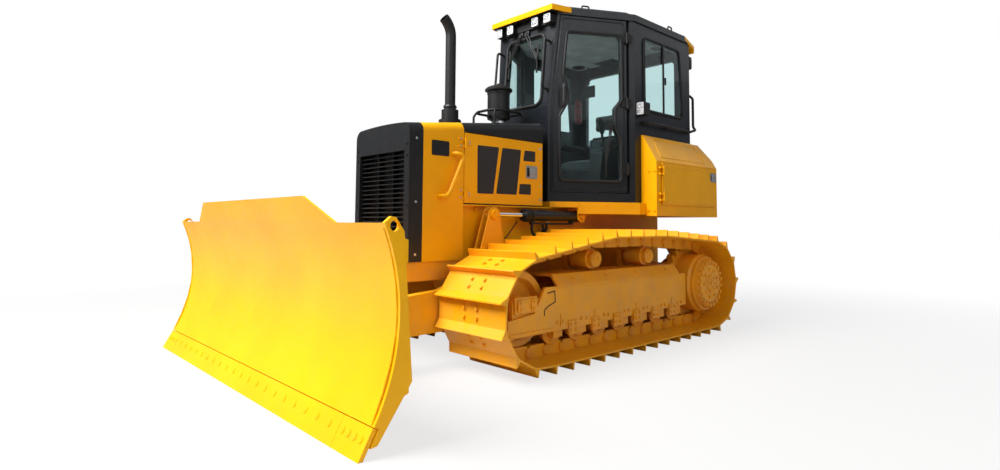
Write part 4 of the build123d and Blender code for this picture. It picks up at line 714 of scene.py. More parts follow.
def run_tree(name, tree, points, ways, **values):
    """Mesh that a tree makes from points with a direction each."""
    mesh = bpy.data.meshes.new(name)
    mesh.from_pydata([tuple(p) for p in points], [], [])
    way = mesh.attributes.new("way", "FLOAT_VECTOR", "POINT")
    way.data.foreach_set("vector", [c for w in ways for c in w])
    obj = new_object(name, mesh)
    modifier = obj.modifiers.new("tree", "NODES")
    modifier.node_group = tree
    sockets = {s.name: s.identifier for s in tree.interface.items_tree if s.in_out == "INPUT"}
    for label, value in values.items():
        modifier[sockets[label]] = value
    obj.update_tag()
    result = evaluated(obj)
    obj.modifiers.remove(modifier)
    obj.data = result
    result.name = name
    return obj


def studs(name, tree, points, ways, material, body, slot, angle, **sizes):
    """A tree's pieces at points; ways is one direction for all, or one for each."""
    ways = [ways] * len(points) if isinstance(ways, Vector) else ways
    obj = run_tree(name, tree, points, ways, Material=material, **sizes)
    return settle(obj, material, body, slot, angle)


def bolts(name, points, ways, material, body, slot, across=0.024, height=0.012):
    """Hexagon bolts on washers."""
    return studs(name, BOLT_TREE, points, ways, material, body, slot, 20, Across=across, Height=height)


def bosses(name, points, ways, material, body, slot, radius, depth):
    """Round bosses, each with a stepped pin end."""
    return studs(name, BOSS_TREE, points, ways, material, body, slot, 30, Radius=radius, Depth=depth)


print("trees:", BOLT_TREE.name, BOSS_TREE.name)

# %% [markdown]
# ## Pairs and flat faces
# The machine is nearly the same on both sides, so most pieces are made for the left side and mirrored.
# A face that isn't square to the machine, such as a flared cab door or the leaning windscreen, gets a
# frame of its own: pieces on it are written as distances along it, up it and out from it.

# %% Placing helpers
SIDES = (("left", 1), ("right", -1))


def face(origin, right, up):
    """Place a point by its distance along, up and out from a flat face."""
    origin, right, up = Vector(origin), Vector(right).normalized(), Vector(up).normalized()
    out = right.cross(up)

    def place(u, v, w=0.0):
        return origin + right * u + up * v + out * w

    place.origin, place.right, place.up, place.out = origin, right, up, out
    return place


def on_face(place, u, v, w=0.0):
    """Matrix that lays a small block's x, y and z along a face's right, up and out."""
    turn = Matrix((place.right, place.up, place.out)).transposed().to_4x4()
    return Matrix.Translation(place(u, v, w)) @ turn


def turned(middle, degrees, axis):
    """Matrix that turns a block about a point."""
    to_middle = Matrix.Translation(middle)
    return to_middle @ Matrix.Rotation(radians(degrees), 4, axis) @ to_middle.inverted()


def plate_on(bm, outline, place, out, thick):
    """Flat plate on a face, its back at a distance out from it."""
    plate(bm, outline, place(0, 0, out), place.right, place.up, thick)


def stacked(bm, place, layers):
    """Closed shell through outlines with equal counts of points, each at its own distance out."""
    rings = [[bm.verts.new(place(u, v, out)) for u, v in line] for line, out in layers]
    for a, b in zip(rings, rings[1:]):
        for i in range(len(a)):
            bm.faces.new((a[i - 1], a[i], b[i], b[i - 1]))
    bm.faces.new(rings[-1])
    bm.faces.new(rings[0])


def weld(bm, line, y, radius):
    """Thin round bead along (x, z) points at one y."""
    for (xa, za), (xb, zb) in zip(line, line[1:]):
        bar(bm, (xa, y, za), (xb, y, zb), radius, sides=8)


def sided(points, sign):
    """Points as vectors, mirrored to the right side when sign is -1."""
    return [Vector((p[0], sign * p[1], p[2])) for p in points]


def pair(name, build, material, body, slot, angle=35.0):
    """A piece on the left and its mirror image on the right, each on its side's body."""
    for side, sign in SIDES:
        bm = bmesh.new()
        build(bm)
        if sign < 0:
            bmesh.ops.scale(bm, vec=(1, -1, 1), verts=bm.verts)
        piece(f"{name}_{side}", bm, material, body.format(side), slot, angle)


def one(name, build, material, body, slot, angle=35.0):
    """A piece by itself."""
    bm = bmesh.new()
    build(bm)
    piece(name, bm, material, body, slot, angle)


def tube_pair(name, points, radius, material, body, slot, **more):
    """A tube on the left and its mirror image on the right."""
    for side, sign in SIDES:
        tube(f"{name}_{side}", sided(points, sign), radius, material, body.format(side), slot, **more)


def bolt_pair(name, points, way, material, body, slot, **sizes):
    """Bolts on the left and their mirror images on the right."""
    for side, sign in SIDES:
        bolts(f"{name}_{side}", sided(points, sign), sided([way], sign)[0], material, body.format(side),
              slot, **sizes)


def ring_line(outline, radius, steps=6):
    """Closed outline with its corners rounded."""
    points = [Vector((*p, 0)) for p in outline]
    line = []
    for i, corner in enumerate(points):
        a, b = points[i - 1] - corner, points[(i + 1) % len(points)] - corner
        half = a.angle(b) / 2
        reach = min(radius * cos(half) / sin(half), a.length * 0.45, b.length * 0.45)
        line += corner_arc(corner + a.normalized() * reach, corner, corner + b.normalized() * reach, steps)
    return [(p.x, p.y) for p in line]


def circle_points(middle, radius, count, axis="y", start=0.0):
    """Points round a circle whose axis runs along, across or up the machine."""
    ahead, aside = {"x": ((0, 1, 0), (0, 0, 1)), "y": ((1, 0, 0), (0, 0, 1)),
                    "z": ((1, 0, 0), (0, 1, 0))}[axis]
    turns = [start + 2 * pi * i / count for i in range(count)]
    return [Vector(middle) + Vector(ahead) * radius * cos(a) + Vector(aside) * radius * sin(a) for a in turns]


DOOR = face((-0.9, 0.722, 0), (-0.8692, 0.4946, 0), (0, 0, 1))     # runs forward as u falls below zero
TILT = atan2(0.075, 0.815)
SCREEN = face((-0.19, 0, 1.99), (0, 1, 0), (-sin(TILT), 0, cos(TILT)))
WALL_SIDE = face((0, 0.722, 0), (-1, 0, 0), (0, 0, 1))
print("faces:", [tuple(round(c, 3) for c in f.out) for f in (DOOR, SCREEN, WALL_SIDE)])

# %% [markdown]
# ## Window seals
# Each pane sits in a moulded rubber seal, a fat black lip that runs all round and takes the sharp
# corner off the opening. The lip is swept as a tube along the window's rounded outline, half sunk
# over the edge of the glass, so it shows a highlight all the way round as the real one does. The
# door's window is pinched beside the handle and beside the middle hinge, and the seal follows it.

# %% Seals, mullions and trims
DOOR_WINDOW = [(0.150, 1.360), (0.700, 1.360), (0.700, 1.905), (0.622, 2.040), (0.622, 2.150), (0.668, 2.265),
               (0.632, 2.650), (0.145, 2.650), (0.138, 2.080), (0.205, 2.000), (0.205, 1.810), (0.150, 1.700)]
SIDE_WINDOW = [(1.060, 2.030), (1.055, 2.675), (1.645, 2.675), (1.710, 2.030)]


def grown(outline, distance):
    """Outline with every side moved outwards."""
    points = [Vector(p) for p in outline]
    area = sum(a.x * b.y - b.x * a.y for a, b in zip(points, points[1:] + points[:1]))
    way = 1 if area > 0 else -1
    moved = []
    for i, p in enumerate(points):
        a, b = (p - points[i - 1]).normalized(), (points[(i + 1) % len(points)] - p).normalized()
        na, nb = Vector((a.y, -a.x)) * way, Vector((b.y, -b.x)) * way
        moved.append(tuple(p + (na + nb) * (distance / (1 + na.dot(nb)))))
    return moved


door_line = ring_line(grown([(-s, z) for s, z in DOOR_WINDOW], 0.012), 0.045)
side_line = ring_line(grown(SIDE_WINDOW, 0.012), 0.055)
tube_pair("door_seal", [DOOR(u, v, 0.004) for u, v in door_line], 0.013, rubber, "cab_door_{}", "plastic",
          closed=True)
tube_pair("side_seal", [WALL_SIDE(u, v, 0.004) for u, v in side_line], 0.013, rubber, "machine", "plastic",
          closed=True)
screen_line = rounded(0.474, 0.652, 0.072, middle=(0, 0.349))
tube("screen_seal", [SCREEN(u, v, 0.004) for u, v in screen_line], 0.014, rubber, "machine", "plastic",
     closed=True)
REAR = face((-1.865, 0, 2.26), (0, -1, 0), (0, 0, 1))
tube("rear_seal", [REAR(u, v, 0.004) for u, v in rounded(1.174, 0.824, 0.072)], 0.013, rubber, "machine",
     "plastic", closed=True)


def mullion(bm):
    """The side window's sliding pane: its overlapping frame bars and the catch."""
    block(bm, (-1.375, 0.727, 2.03), (-1.350, 0.737, 2.68), ease=0.003)
    block(bm, (-1.392, 0.737, 2.30), (-1.372, 0.747, 2.37), ease=0.003)


pair("side_mullion", mullion, part_black, "machine", "black")
outline_door = [(-0.105, 1.275), (-0.770, 1.275), (-0.770, 1.985), (-0.688, 2.775), (-0.105, 2.775)]
tube_pair("door_edge_bead", [DOOR(u, v, 0.001) for u, v in ring_line(outline_door, 0.03)], 0.0045, cab_black,
          "cab_door_{}", "black", closed=True)
print("seals:", len(door_line), "points round a door window")

# %% [markdown]
# ## Door handles, hinges and wipers
# The door is opened by a black pull handle with a push button, at the pinch of its window. Its hinges
# have a round pin, and a leaf on each side of it held by three studs. Two wipers hang from the header
# over the windscreen and each door has its own on the glass: a round pivot boss, two thin rods side by
# side, and a blade that stands upright.

# %% Handles, hinges and wipers


def door_handle(bm):
    """Plate, stand-offs, push button and lock of the pull handle."""
    plate_on(bm, rounded(0.052, 0.225, 0.02, middle=(-0.684, 2.085)), DOOR, 0.0005, 0.012)
    for v in (2.005, 2.165):
        bar(bm, DOOR(-0.684, v, 0.010), DOOR(-0.684, v, 0.048), 0.013)
    bar(bm, DOOR(-0.684, 2.150, 0.005), DOOR(-0.684, 2.150, 0.026), 0.017)
    bar(bm, DOOR(-0.684, 2.058, 0.005), DOOR(-0.684, 2.058, 0.020), 0.010)


pair("door_handle_plate", door_handle, plastic, "cab_door_{}", "plastic")
grip = [DOOR(-0.684, 1.995, 0.046), DOOR(-0.690, 2.02, 0.058), DOOR(-0.690, 2.15, 0.058),
        DOOR(-0.684, 2.175, 0.046)]
tube_pair("door_handle_grip", grip, 0.013, plastic, "cab_door_{}", "plastic", bend=0.02)
tube_pair("door_inner_pull", [DOOR(-0.738, 1.45, -0.038), DOOR(-0.738, 1.45, -0.075),
                              DOOR(-0.738, 1.80, -0.075), DOOR(-0.738, 1.80, -0.038)], 0.010, plastic,
          "cab_door_{}", "plastic", bend=0.03)
HINGE_ZS = (1.460, 2.050, 2.640)


def hinge_pins(bm):
    """Hinge pins with a small cap at each end."""
    for z in HINGE_ZS:
        foot = DOOR(-0.0794, z, 0.0140)
        bar(bm, foot - DOOR.up * 0.050, foot + DOOR.up * 0.050, 0.0115)
        for way in (1, -1):
            bar(bm, foot + DOOR.up * 0.050 * way, foot + DOOR.up * 0.056 * way, 0.0135, 0.008)


def hinge_leaf(bm, start, end):
    """Leaves between two distances along the door, with three studs on each."""
    middle = (start + end) / 2
    for z in HINGE_ZS:
        plate_on(bm, rounded(abs(end - start), 0.074, 0.008, middle=(middle, z)), DOOR, 0.0082, 0.003)
        for v in (-0.024, 0.0, 0.024):
            at = DOOR(middle, z + v, 0.0112)
            bar(bm, at, at + DOOR.out * 0.0045, 0.0072, 0.0050, sides=12)


pair("hinge_pins", hinge_pins, part_black, "machine", "black")
pair("hinge_door_leaves", lambda bm: hinge_leaf(bm, -0.092, -0.134), part_black, "cab_door_{}", "black")
pair("hinge_post_leaves", lambda bm: hinge_leaf(bm, -0.066, -0.024), part_black, "machine", "black")


def wiper(name, pivot, tip, place, body, blade_half, spread):
    """Pivot boss, two parallel rods and a blade, on a flat pane."""
    bm = bmesh.new()
    (u, v), (p, q) = pivot, tip
    run = Vector((p - u, q - v)).normalized()
    across = Vector((-run.y, run.x)) * spread
    bar(bm, place(u, v, 0.006), place(u, v, 0.034), 0.019)
    block(bm, (-0.024, -0.034, 0), (0.024, 0.034, 0.012), ease=0.003, place=on_face(place, u, v, 0.008))
    for way in (1, -1):
        bar(bm, place(u + across.x * way, v + across.y * way, 0.026),
            place(p + across.x * way * 0.5, q + across.y * way * 0.5, 0.026), 0.0055, sides=10)
    block(bm, (-0.008, -blade_half, 0.006), (0.008, blade_half, 0.018), ease=0.002,
          place=on_face(place, p, q))
    block(bm, (-0.010, -0.030, 0.014), (0.010, 0.030, 0.028), ease=0.003, place=on_face(place, p, q))
    piece(name, bm, part_black, body, "black")


wiper("wiper_left", (0.015, 0.705), (0.165, 0.455), SCREEN, "machine", 0.135, 0.013)
wiper("wiper_right", (-0.060, 0.705), (-0.195, 0.455), SCREEN, "machine", 0.135, 0.013)
for side, sign in SIDES:
    pane = face((-0.9, 0.722 * sign, 0), (-0.8692 * sign, 0.4946, 0), (0, 0, 1))
    wiper(f"door_wiper_{side}", (-0.240 * sign, 1.835), (-0.285 * sign, 1.540), pane, f"cab_door_{side}",
          0.150, 0.010)
print("wipers: 4")

# %% [markdown]
# ## Lamps
# Four square work lamps hang under the roof's visor, one stands out from each side wall, and one sits
# at each rear corner under the roof. A pale raised bezel frames a grid of small polished cones behind a
# plain clear lens. The cones catch light from many sides, so the lamp looks bright from most angles.

# %% Work lamps


CONES = 4      # cones along each side of a lamp's grid


def lamp_face(name, place, width, height):
    """Bezel, grid of cones and lens on the front of a square lamp's housing."""
    bm = bmesh.new()
    outer, inner = rounded(width, height, 0.010), rounded(width - 0.012, height - 0.012, 0.006)
    stacked(bm, place, ((outer, 0.0004), (outer, 0.006), (inner, 0.006), (inner, 0.0012)))
    piece(name + "_bezel", bm, pale_plastic, "machine", "glass")
    bm = bmesh.new()
    for i in range(CONES):
        for k in range(CONES):
            u = (width - 0.016) * ((i + 0.5) / CONES - 0.5)
            v = (height - 0.016) * ((k + 0.5) / CONES - 0.5)
            bar(bm, place(u, v, 0.0016), place(u, v, 0.0042), 0.0066, 0.0030, sides=8)
    piece(name + "_bowl", bm, mirror_bowl, "machine", "chrome")
    bm = bmesh.new()
    plate_on(bm, rounded(width - 0.0135, height - 0.0135, 0.006), place, 0.0046, 0.0012)
    piece(name + "_lens", bm, lens_glass, "machine", "glass")


for i, y in enumerate((-0.305, -0.158, 0.158, 0.305)):
    lamp_face(f"roof_lamp_{i}", face((-0.193, y, 2.765), (0, 1, 0), (0, 0, 1)), 0.076, 0.076)
for side, sign in SIDES:
    lamp_face(f"side_lamp_{side}", face((-0.930, sign * 0.7595, 2.010), (0, 1, 0), (0, 0, 1)), 0.070, 0.108)


def lamp_back(bm):
    """Cooling fins and stems of the two roof lamps on one side."""
    for y in (0.158, 0.305):
        for k in range(5):
            z = 2.739 + k * 0.013
            block(bm, (-0.2345, y - 0.030, z), (-0.200, y + 0.030, z + 0.004), ease=0.001)
        bar(bm, (-0.218, y, 2.800), (-0.218, y, 2.822), 0.012)


pair("roof_lamp_stems", lamp_back, part_black, "machine", "black")


def visor_lining(bm):
    """Black sheet under the visor."""
    outline = [(-0.300, 0.400), (-0.176, 0.376), (-0.176, -0.376), (-0.300, -0.400)]
    plate(bm, outline, (0, 0, 2.8175), (1, 0, 0), (0, 1, 0), 0.004)


one("visor_lining", visor_lining, part_black, "machine", "black")


def rear_lamp(bm):
    """Housing and bracket of a lamp at the cab's rear corner."""
    block(bm, (-1.935, 0.640, 2.560), (-1.872, 0.716, 2.690), ease=0.010)
    block(bm, (-1.900, 0.655, 2.520), (-1.874, 0.700, 2.565), ease=0.004)


pair("rear_lamp", rear_lamp, part_black, "machine", "black")
for side, sign in SIDES:
    lamp_face(f"rear_lamp_{side}", face((-1.9352, sign * 0.678, 2.625), (0, -1, 0), (0, 0, 1)), 0.068, 0.110)
tube("antenna", [(-1.95, 0.60, 2.745), (-2.00, 0.605, 2.60), (-2.045, 0.61, 2.40)], 0.0035, rubber,
     "machine", "plastic", bend=0.05)
print("lamps: 8")

# %% [markdown]
# ## Grab rails and mirror
# A long black rail runs back from each side lamp along the foot of the side window, and ends in an
# upright behind the rear corner. Such rails are one bent tube with welded feet, so each is one curve
# with rounded corners, and short stand-offs carry it to the wall. A mirror hangs inside the cab.

# %% Rails and mirror
tube_pair("side_rail", [(-1.02, 0.724, 1.893), (-1.02, 0.775, 1.893), (-1.780, 0.775, 1.893),
                        (-1.880, 0.775, 1.920), (-1.905, 0.735, 1.960), (-1.905, 0.735, 2.250),
                        (-1.905, 0.700, 2.285), (-1.862, 0.700, 2.285)], 0.0125, part_black, "machine",
          "black", bend=0.04)


def rail_feet(bm):
    """Stand-offs and round feet of the side rails, and the feet of the rails on the windscreen's frame."""
    for x in (-1.40, -1.80):
        bar(bm, (x, 0.723, 1.893), (x, 0.768, 1.893), 0.010)
        bar(bm, (x, 0.7225, 1.893), (x, 0.728, 1.893), 0.022)
    bar(bm, (-1.02, 0.7225, 1.893), (-1.02, 0.728, 1.893), 0.022)
    for y, z in ((0.300, 2.140), (0.300, 2.568)):
        u = (z - 1.99) / cos(TILT)
        bar(bm, SCREEN(y, u, 0.001), SCREEN(y, u, 0.006), 0.022)


pair("rail_feet", rail_feet, part_black, "machine", "black")


def interior_mirror(bm):
    """Stalk and housing of the mirror."""
    plate(bm, rounded(0.030, 0.012, 0.004), (-1.70, -0.44, 2.80), (1, 0, 0), (0, 1, 0), -0.24)
    block(bm, (-1.712, -0.530, 2.405), (-1.690, -0.350, 2.540), ease=0.010)


one("cab_mirror", interior_mirror, plastic, "machine", "plastic")
print("rails and mirror ready")

# %% [markdown]
# ## Hood and engine doors
# The engine doors breathe through black punched panels: two tall ones with slanted sides and two small
# ones beside the latch. Each is a thin sheet on the door with a yellow rim, and the small holes are in
# the punched finish, which paints them near black as the shade behind them. The latch is a zinc paddle
# in a square cup, with a black patch beside it painted as the shade of its finger space, and
# quarter-turn fasteners hold the rear edge. Rubber strips behind the door's edges close the gap round it.

# %% Engine door panels
DOOR_SIDE = face((0, 0.360, 0), (-1, 0, 0), (0, 0, 1))
PANELS = [[(0.640, 1.565), (0.417, 1.567), (0.474, 1.200), (0.637, 1.198)],
          [(0.383, 1.567), (0.175, 1.569), (0.224, 1.203), (0.447, 1.203)],
          [(0.136, 1.569), (0.009, 1.571), (0.011, 1.482), (0.152, 1.480)],
          [(0.189, 1.294), (0.060, 1.297), (0.060, 1.209), (0.202, 1.209)]]


def panel_sheets(bm):
    """The four punched sheets of a door."""
    for outline in PANELS:
        plate_on(bm, ring_line([(-x, z) for x, z in outline], 0.012, 3), DOOR_SIDE, 0.0004, 0.0022)


pair("engine_door_sheets", panel_sheets, punched, "engine_door_{}", "black")
for k, outline in enumerate(PANELS):
    line = ring_line(grown([(-x, z) for x, z in outline], 0.001), 0.013, 3)
    tube_pair(f"sheet_rim_{k}", [DOOR_SIDE(u, v, 0.0005) for u, v in line], 0.0028, yellow,
              "engine_door_{}", "yellow", closed=True)


def paddle_latch(bm, place, u, v, size):
    """Square cup with a raised rim, and the paddle in it."""
    outer = rounded(size, size * 0.8, 0.008, middle=(u, v))
    inner = rounded(size - 0.018, size * 0.8 - 0.018, 0.005, middle=(u, v))
    stacked(bm, place, ((outer, 0.0003), (outer, 0.0065), (inner, 0.0065), (inner, 0.0016)))
    block(bm, (-size * 0.15, -size * 0.24, 0.0018), (size * 0.37, size * 0.24, 0.0060), ease=0.002,
          place=on_face(place, u, v))
    bar(bm, place(u + size * 0.16, v, 0.004), place(u + size * 0.16, v, 0.0085), size * 0.075, sides=16)
    bar(bm, place(u + size * 0.16, v, 0.008), place(u + size * 0.16, v, 0.0092), size * 0.045, sides=16)


def latch_painted_shade(bm):
    """Black plate painted as the shade in the finger space beside the paddle."""
    plate_on(bm, rounded(0.034, 0.076, 0.005, middle=(-0.094, 1.394)), DOOR_SIDE, 0.0017, 0.0006)


pair("engine_latch", lambda bm: paddle_latch(bm, DOOR_SIDE, -0.055, 1.394, 0.130), zinc,
     "engine_door_{}", "chrome")
# painted shade: a black plate stands for the shadow in the finger space beside the engine door's latch
pair("engine_latch_painted_shade", latch_painted_shade, part_black, "engine_door_{}", "black")


def fasteners(bm):
    """Quarter-turn fasteners, each with a raised bar across its head."""
    for x, z in ((-0.055, 1.598), (-0.055, 1.172), (-0.058, 1.500), (-0.058, 1.285)):
        small = 0.008 if z in (1.500, 1.285) else 0.013
        bar(bm, (x, 0.3602, z), (x, 0.3635, z), small, small * 0.85, sides=20)
        block(bm, (x - small * 0.75, 0.3630, z - 0.0016), (x + small * 0.75, 0.3645, z + 0.0016), ease=0.0004)


pair("engine_fasteners", fasteners, zinc, "engine_door_{}", "chrome")
ENGINE_HINGE_ZS = (1.190, 1.570)
bolt_pair("engine_hinge_screws", [(0.720, 0.3685, z + h) for z in ENGINE_HINGE_ZS for h in (-0.008, 0.008)],
          (0, 1, 0), zinc, "engine_door_{}", "chrome", across=0.010, height=0.004)
bolt_pair("engine_hinge_post_screws", [(0.800, 0.3685, z + h) for z in ENGINE_HINGE_ZS
                                       for h in (-0.027, 0.027)], (0, 1, 0), zinc, "machine", "chrome",
          across=0.010, height=0.004)
STOP_SPANS = ((-0.084, 0.766, 1.632, 1.664), (-0.084, 0.766, 1.106, 1.136),
              (-0.084, -0.060, 1.136, 1.632), (0.742, 0.766, 1.136, 1.632))     # rear, front, low, high


def door_stops(bm):
    """Strips behind the four edges of an engine door."""
    for rear, ahead, low, high in STOP_SPANS:
        block(bm, (rear, 0.322, low), (ahead, 0.3405, high), ease=0.003)


pair("engine_door_stops", door_stops, rubber, "machine", "plastic")

# %% [markdown]
# ## Front section of the hood
# The grab handle is a bent bar whose two feet are welded to the side sheet, slanting down and forward,
# and on the left a blank black plate sits above it. Screws hold the black frame of the grille, and a row
# of bolts runs down the seam beside the lift lever. On top, the exhaust comes through a round flange, and
# the precleaner stands inside a guard hoop on four legs.

# %% Hood fittings
tube_pair("hood_handle", [(0.876, 0.358, 1.478), (0.862, 0.408, 1.478), (0.815, 0.412, 1.462),
                          (0.822, 0.412, 1.430), (0.930, 0.412, 1.200), (0.960, 0.412, 1.168),
                          (0.985, 0.408, 1.166), (0.990, 0.358, 1.166)], 0.0155, yellow, "machine", "yellow",
          bend=0.035)


def blank_plate(bm):
    plate_on(bm, rounded(0.155, 0.108, 0.012, middle=(-0.982, 1.508)), DOOR_SIDE, 0.0003, 0.0025)


one("blank_plate_left", blank_plate, hood_black, "machine", "black")
bolt_pair("seam_bolts", [(0.748, 0.3085, z) for z in (0.79, 0.90, 1.01, 1.08)], (0, 1, 0), zinc, "machine",
          "chrome", across=0.018, height=0.008)
bolt_pair("side_bolts", [(x, 0.3085, z) for z in (1.085, 0.75) for x in (0.60, 0.36, 0.12, -0.12)],
          (0, 1, 0), yellow, "machine", "yellow", across=0.020, height=0.008)
bolt_pair("grille_frame_bolts", [(1.186, 0.3602, z) for z in (1.56, 1.12, 0.76)], (0, 1, 0), zinc, "machine",
          "chrome", across=0.014, height=0.004)
bolts("grille_face_bolts", [Vector((1.2452, y, z)) for y in (-0.33, 0.33) for z in (0.76, 1.10, 1.44, 1.52)],
      Vector((1, 0, 0)), part_black, "machine", "black", across=0.016, height=0.006)


def hood_lines(bm):
    """Rolled drip edges along the sides of the black rear top."""
    for sign in (1, -1):
        bar(bm, (-0.083, 0.3605 * sign, 1.6535), (0.766, 0.3605 * sign, 1.6535), 0.0035, sides=10)
        bar(bm, (0.7680, 0.352 * sign, 1.6535), (0.7680, 0.352 * sign, 1.690), 0.0035, sides=10)


one("hood_drip_edges", hood_lines, hood_black, "machine", "black")


def stack_flange(bm):
    """Two steps of the flange, its six bolts, and the clamp round the pipe."""
    x = 0.623
    for z, r in ((1.788, 0.084), (1.800, 0.070)):
        bar(bm, (x, 0, z - 0.022), (x, 0, z + 0.006), r, sides=40)
    for p in circle_points((x, 0, 1.794), 0.077, 6, axis="z"):
        bar(bm, p, p + Vector((0, 0, 0.010)), 0.008, sides=6)
    bar(bm, (x, 0, 1.902), (x, 0, 1.918), 0.056, 0.050, sides=32)


stack_low, stack_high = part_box("exhaust_stack")
print("exhaust stands from", round(stack_low.z, 3), "to", round(stack_high.z, 3))
one("stack_flange", stack_flange, part_black, "machine", "black")
CLEANER = Vector((0.093, 0, 0))


def cleaner_parts(bm):
    """Two clamps, one with its lug, and the rivets and nut on top."""
    for z, r in ((1.886, 0.1005), (2.090, 0.1005)):
        bar(bm, CLEANER + Vector((0, 0, z)), CLEANER + Vector((0, 0, z + 0.018)), r, sides=40)
    for k in range(14):
        a = 2 * pi * k / 14
        p = CLEANER + Vector((0.108 * cos(a), 0.108 * sin(a), 2.114))
        bar(bm, p, p + Vector((0, 0, 0.006)), 0.004, sides=8)
    bar(bm, CLEANER + Vector((0, 0, 2.168)), CLEANER + Vector((0, 0, 2.186)), 0.016, sides=6)
    block(bm, (CLEANER.x + 0.095, -0.014, 1.884), (CLEANER.x + 0.118, 0.014, 1.906), ease=0.003)


one("cleaner_parts", cleaner_parts, part_black, "machine", "black")
hoop = [CLEANER + Vector((x, y, 1.925)) for x, y in rounded(0.34, 0.29, 0.09)]
tube("cleaner_hoop", hoop, 0.011, part_black, "machine", "black", closed=True)
for k, (x, y) in enumerate(((0.15, 0.12), (0.15, -0.12), (-0.15, 0.12), (-0.15, -0.12))):
    foot = CLEANER + Vector((x * 1.12, y * 1.12, 1.800))
    tube(f"hoop_leg_{k}", [foot, foot + Vector((0, 0, 0.09)), CLEANER + Vector((x, y, 1.925))], 0.010,
         part_black, "machine", "black", bend=0.03)


def cleaner_collar(bm):
    """Silver collar under the canister."""
    bar(bm, CLEANER + Vector((0, 0, 1.852)), CLEANER + Vector((0, 0, 1.872)), 0.056, 0.090, sides=36)
    bar(bm, CLEANER + Vector((0, 0, 1.834)), CLEANER + Vector((0, 0, 1.852)), 0.062, sides=36)


one("cleaner_collar", cleaner_collar, zinc, "machine", "chrome")
print("hood fittings ready")

# %% [markdown]
# ## Side boxes, tank and rear
# Each side box has a big door with a paddle latch at its rear edge, and a pressed panel line on the
# slanting top. A fuel cap with a grip bar across it sits on the tank, bolts hold the tank's rear sheet
# and the deck's edge, and the drawbar has a towing pin in its jaw.

# %% Side boxes and tank
BOX_SIDE = face((0, 0.895, 0), (-1, 0, 0), (0, 0, 1))


def box_painted_shade(bm):
    """Black plate painted as the shade in the finger space beside the paddle."""
    plate_on(bm, rounded(0.022, 0.058, 0.005, middle=(1.951, 1.440)), BOX_SIDE, 0.0017, 0.0006)


pair("box_latch", lambda bm: paddle_latch(bm, BOX_SIDE, 1.985, 1.440, 0.110), zinc, "box_door_{}", "chrome")
# painted shade: a black plate stands for the shadow in the finger space beside the side box's latch
pair("box_latch_painted_shade", box_painted_shade, part_black, "box_door_{}", "black")
door_rim = [BOX_SIDE(u, v, 0.0005) for u, v in rounded(0.955, 0.330, 0.02, middle=(1.565, 1.336))]
tube_pair("box_door_bead", door_rim, 0.004, yellow, "box_door_{}", "yellow", closed=True)
SLANT = face((0, 0.880, 1.540), (-1, 0, 0), (0, -0.141, 0.240))
slant_line = [(1.100, 0.045), (1.905, 0.045), (1.845, 0.245), (1.135, 0.245)]
tube_pair("box_top_bead", [SLANT(u, v, 0.0006) for u, v in ring_line(slant_line, 0.02)], 0.004, yellow,
          "machine", "yellow", closed=True)
bolt_pair("box_bolts", [(-0.9885, y, z) for y, z in ((0.80, 1.10), (0.86, 1.10), (0.80, 1.45), (0.86, 1.45))],
          (1, 0, 0), yellow, "machine", "yellow", across=0.018, height=0.007)


def fuel_cap(bm):
    """Cap square to the tank's slanting sheet, with a grip bar."""
    middle = Vector((-2.026, 0.35, 1.644))
    way = Vector((-0.65, 0, 0.76)).normalized()
    bar(bm, middle, middle + way * 0.030, 0.062, sides=36)
    bar(bm, middle + way * 0.030, middle + way * 0.052, 0.068, 0.060, sides=36)
    block(bm, (-0.050, -0.010, 0.052), (0.050, 0.010, 0.066), ease=0.004,
          place=Matrix.Translation(middle) @ way.to_track_quat("Z", "Y").to_matrix().to_4x4())


one("fuel_cap", fuel_cap, part_black, "machine", "black")


def hitch_pin(bm):
    """Pin, head and pull handle."""
    bar(bm, (-2.180, 0, 0.420), (-2.180, 0, 0.598), 0.0225, sides=28)
    bar(bm, (-2.180, 0, 0.584), (-2.180, 0, 0.600), 0.036, sides=28)
    bar(bm, (-2.200, 0, 0.600), (-2.150, 0, 0.632), 0.008)


one("hitch_pin", hitch_pin, zinc, "machine", "chrome")
bolts("tank_bolts", [Vector((-2.0952, y, z)) for y in (-0.66, -0.22, 0.22, 0.66) for z in (1.09, 1.52)],
      Vector((-1, 0, 0)), yellow, "machine", "yellow", across=0.024, height=0.009)
deck_bolts = [DOOR(-s, 1.140, 0.0435) for s in (0.06, 0.30, 0.54, 0.76)]
bolt_pair("deck_bolts", deck_bolts, DOOR.out, yellow, "machine", "yellow", across=0.016, height=0.006)
print("side boxes and rear ready")

# %% [markdown]
# ## Tracks
# Every shoe is bolted to its link by four bolts, the links are joined by pins pressed through round
# bosses, and hardened bushes run between the rails. None of that is in the plain solid, and it is most
# of what the eye reads as a track. The chain's path is a belt round four circles: the sprocket and the
# idler are found in their solids, the sprocket's radius follows from the pitch, and the two carrier
# rollers stand at set places. Every pin's place comes from walking along the belt by one pitch.

# %% Chain path
PITCH, SHOES, TRACK_Y, PIN_Z = 0.171, 39, 0.780, 0.097


def wheel(node):
    """Middle, as x and z, of the left wheel of a node."""
    spots = [v.co for v in NODES[node].data.vertices if v.co.y > 0]
    xs, zs = [p.x for p in spots], [p.z for p in spots]
    return (min(xs) + max(xs)) / 2, (min(zs) + max(zs)) / 2


SPROCKET_SEATS = 25       # half a pitch apart, so a pin meets every second one
sprocket_x = wheel("sprockets")[0]
sprocket_r = PITCH * SPROCKET_SEATS / (4 * pi)
idler_x, idler_z = wheel("idlers")
CARRIER_XS, CARRIER_Z, CARRIER_R = (-0.100, -0.820), 0.710, 0.1251
carriers = [(x, CARRIER_Z, CARRIER_R) for x in CARRIER_XS]
CIRCLES = [(sprocket_x, PIN_Z + sprocket_r, sprocket_r), (idler_x, idler_z, idler_z - PIN_Z)] + carriers


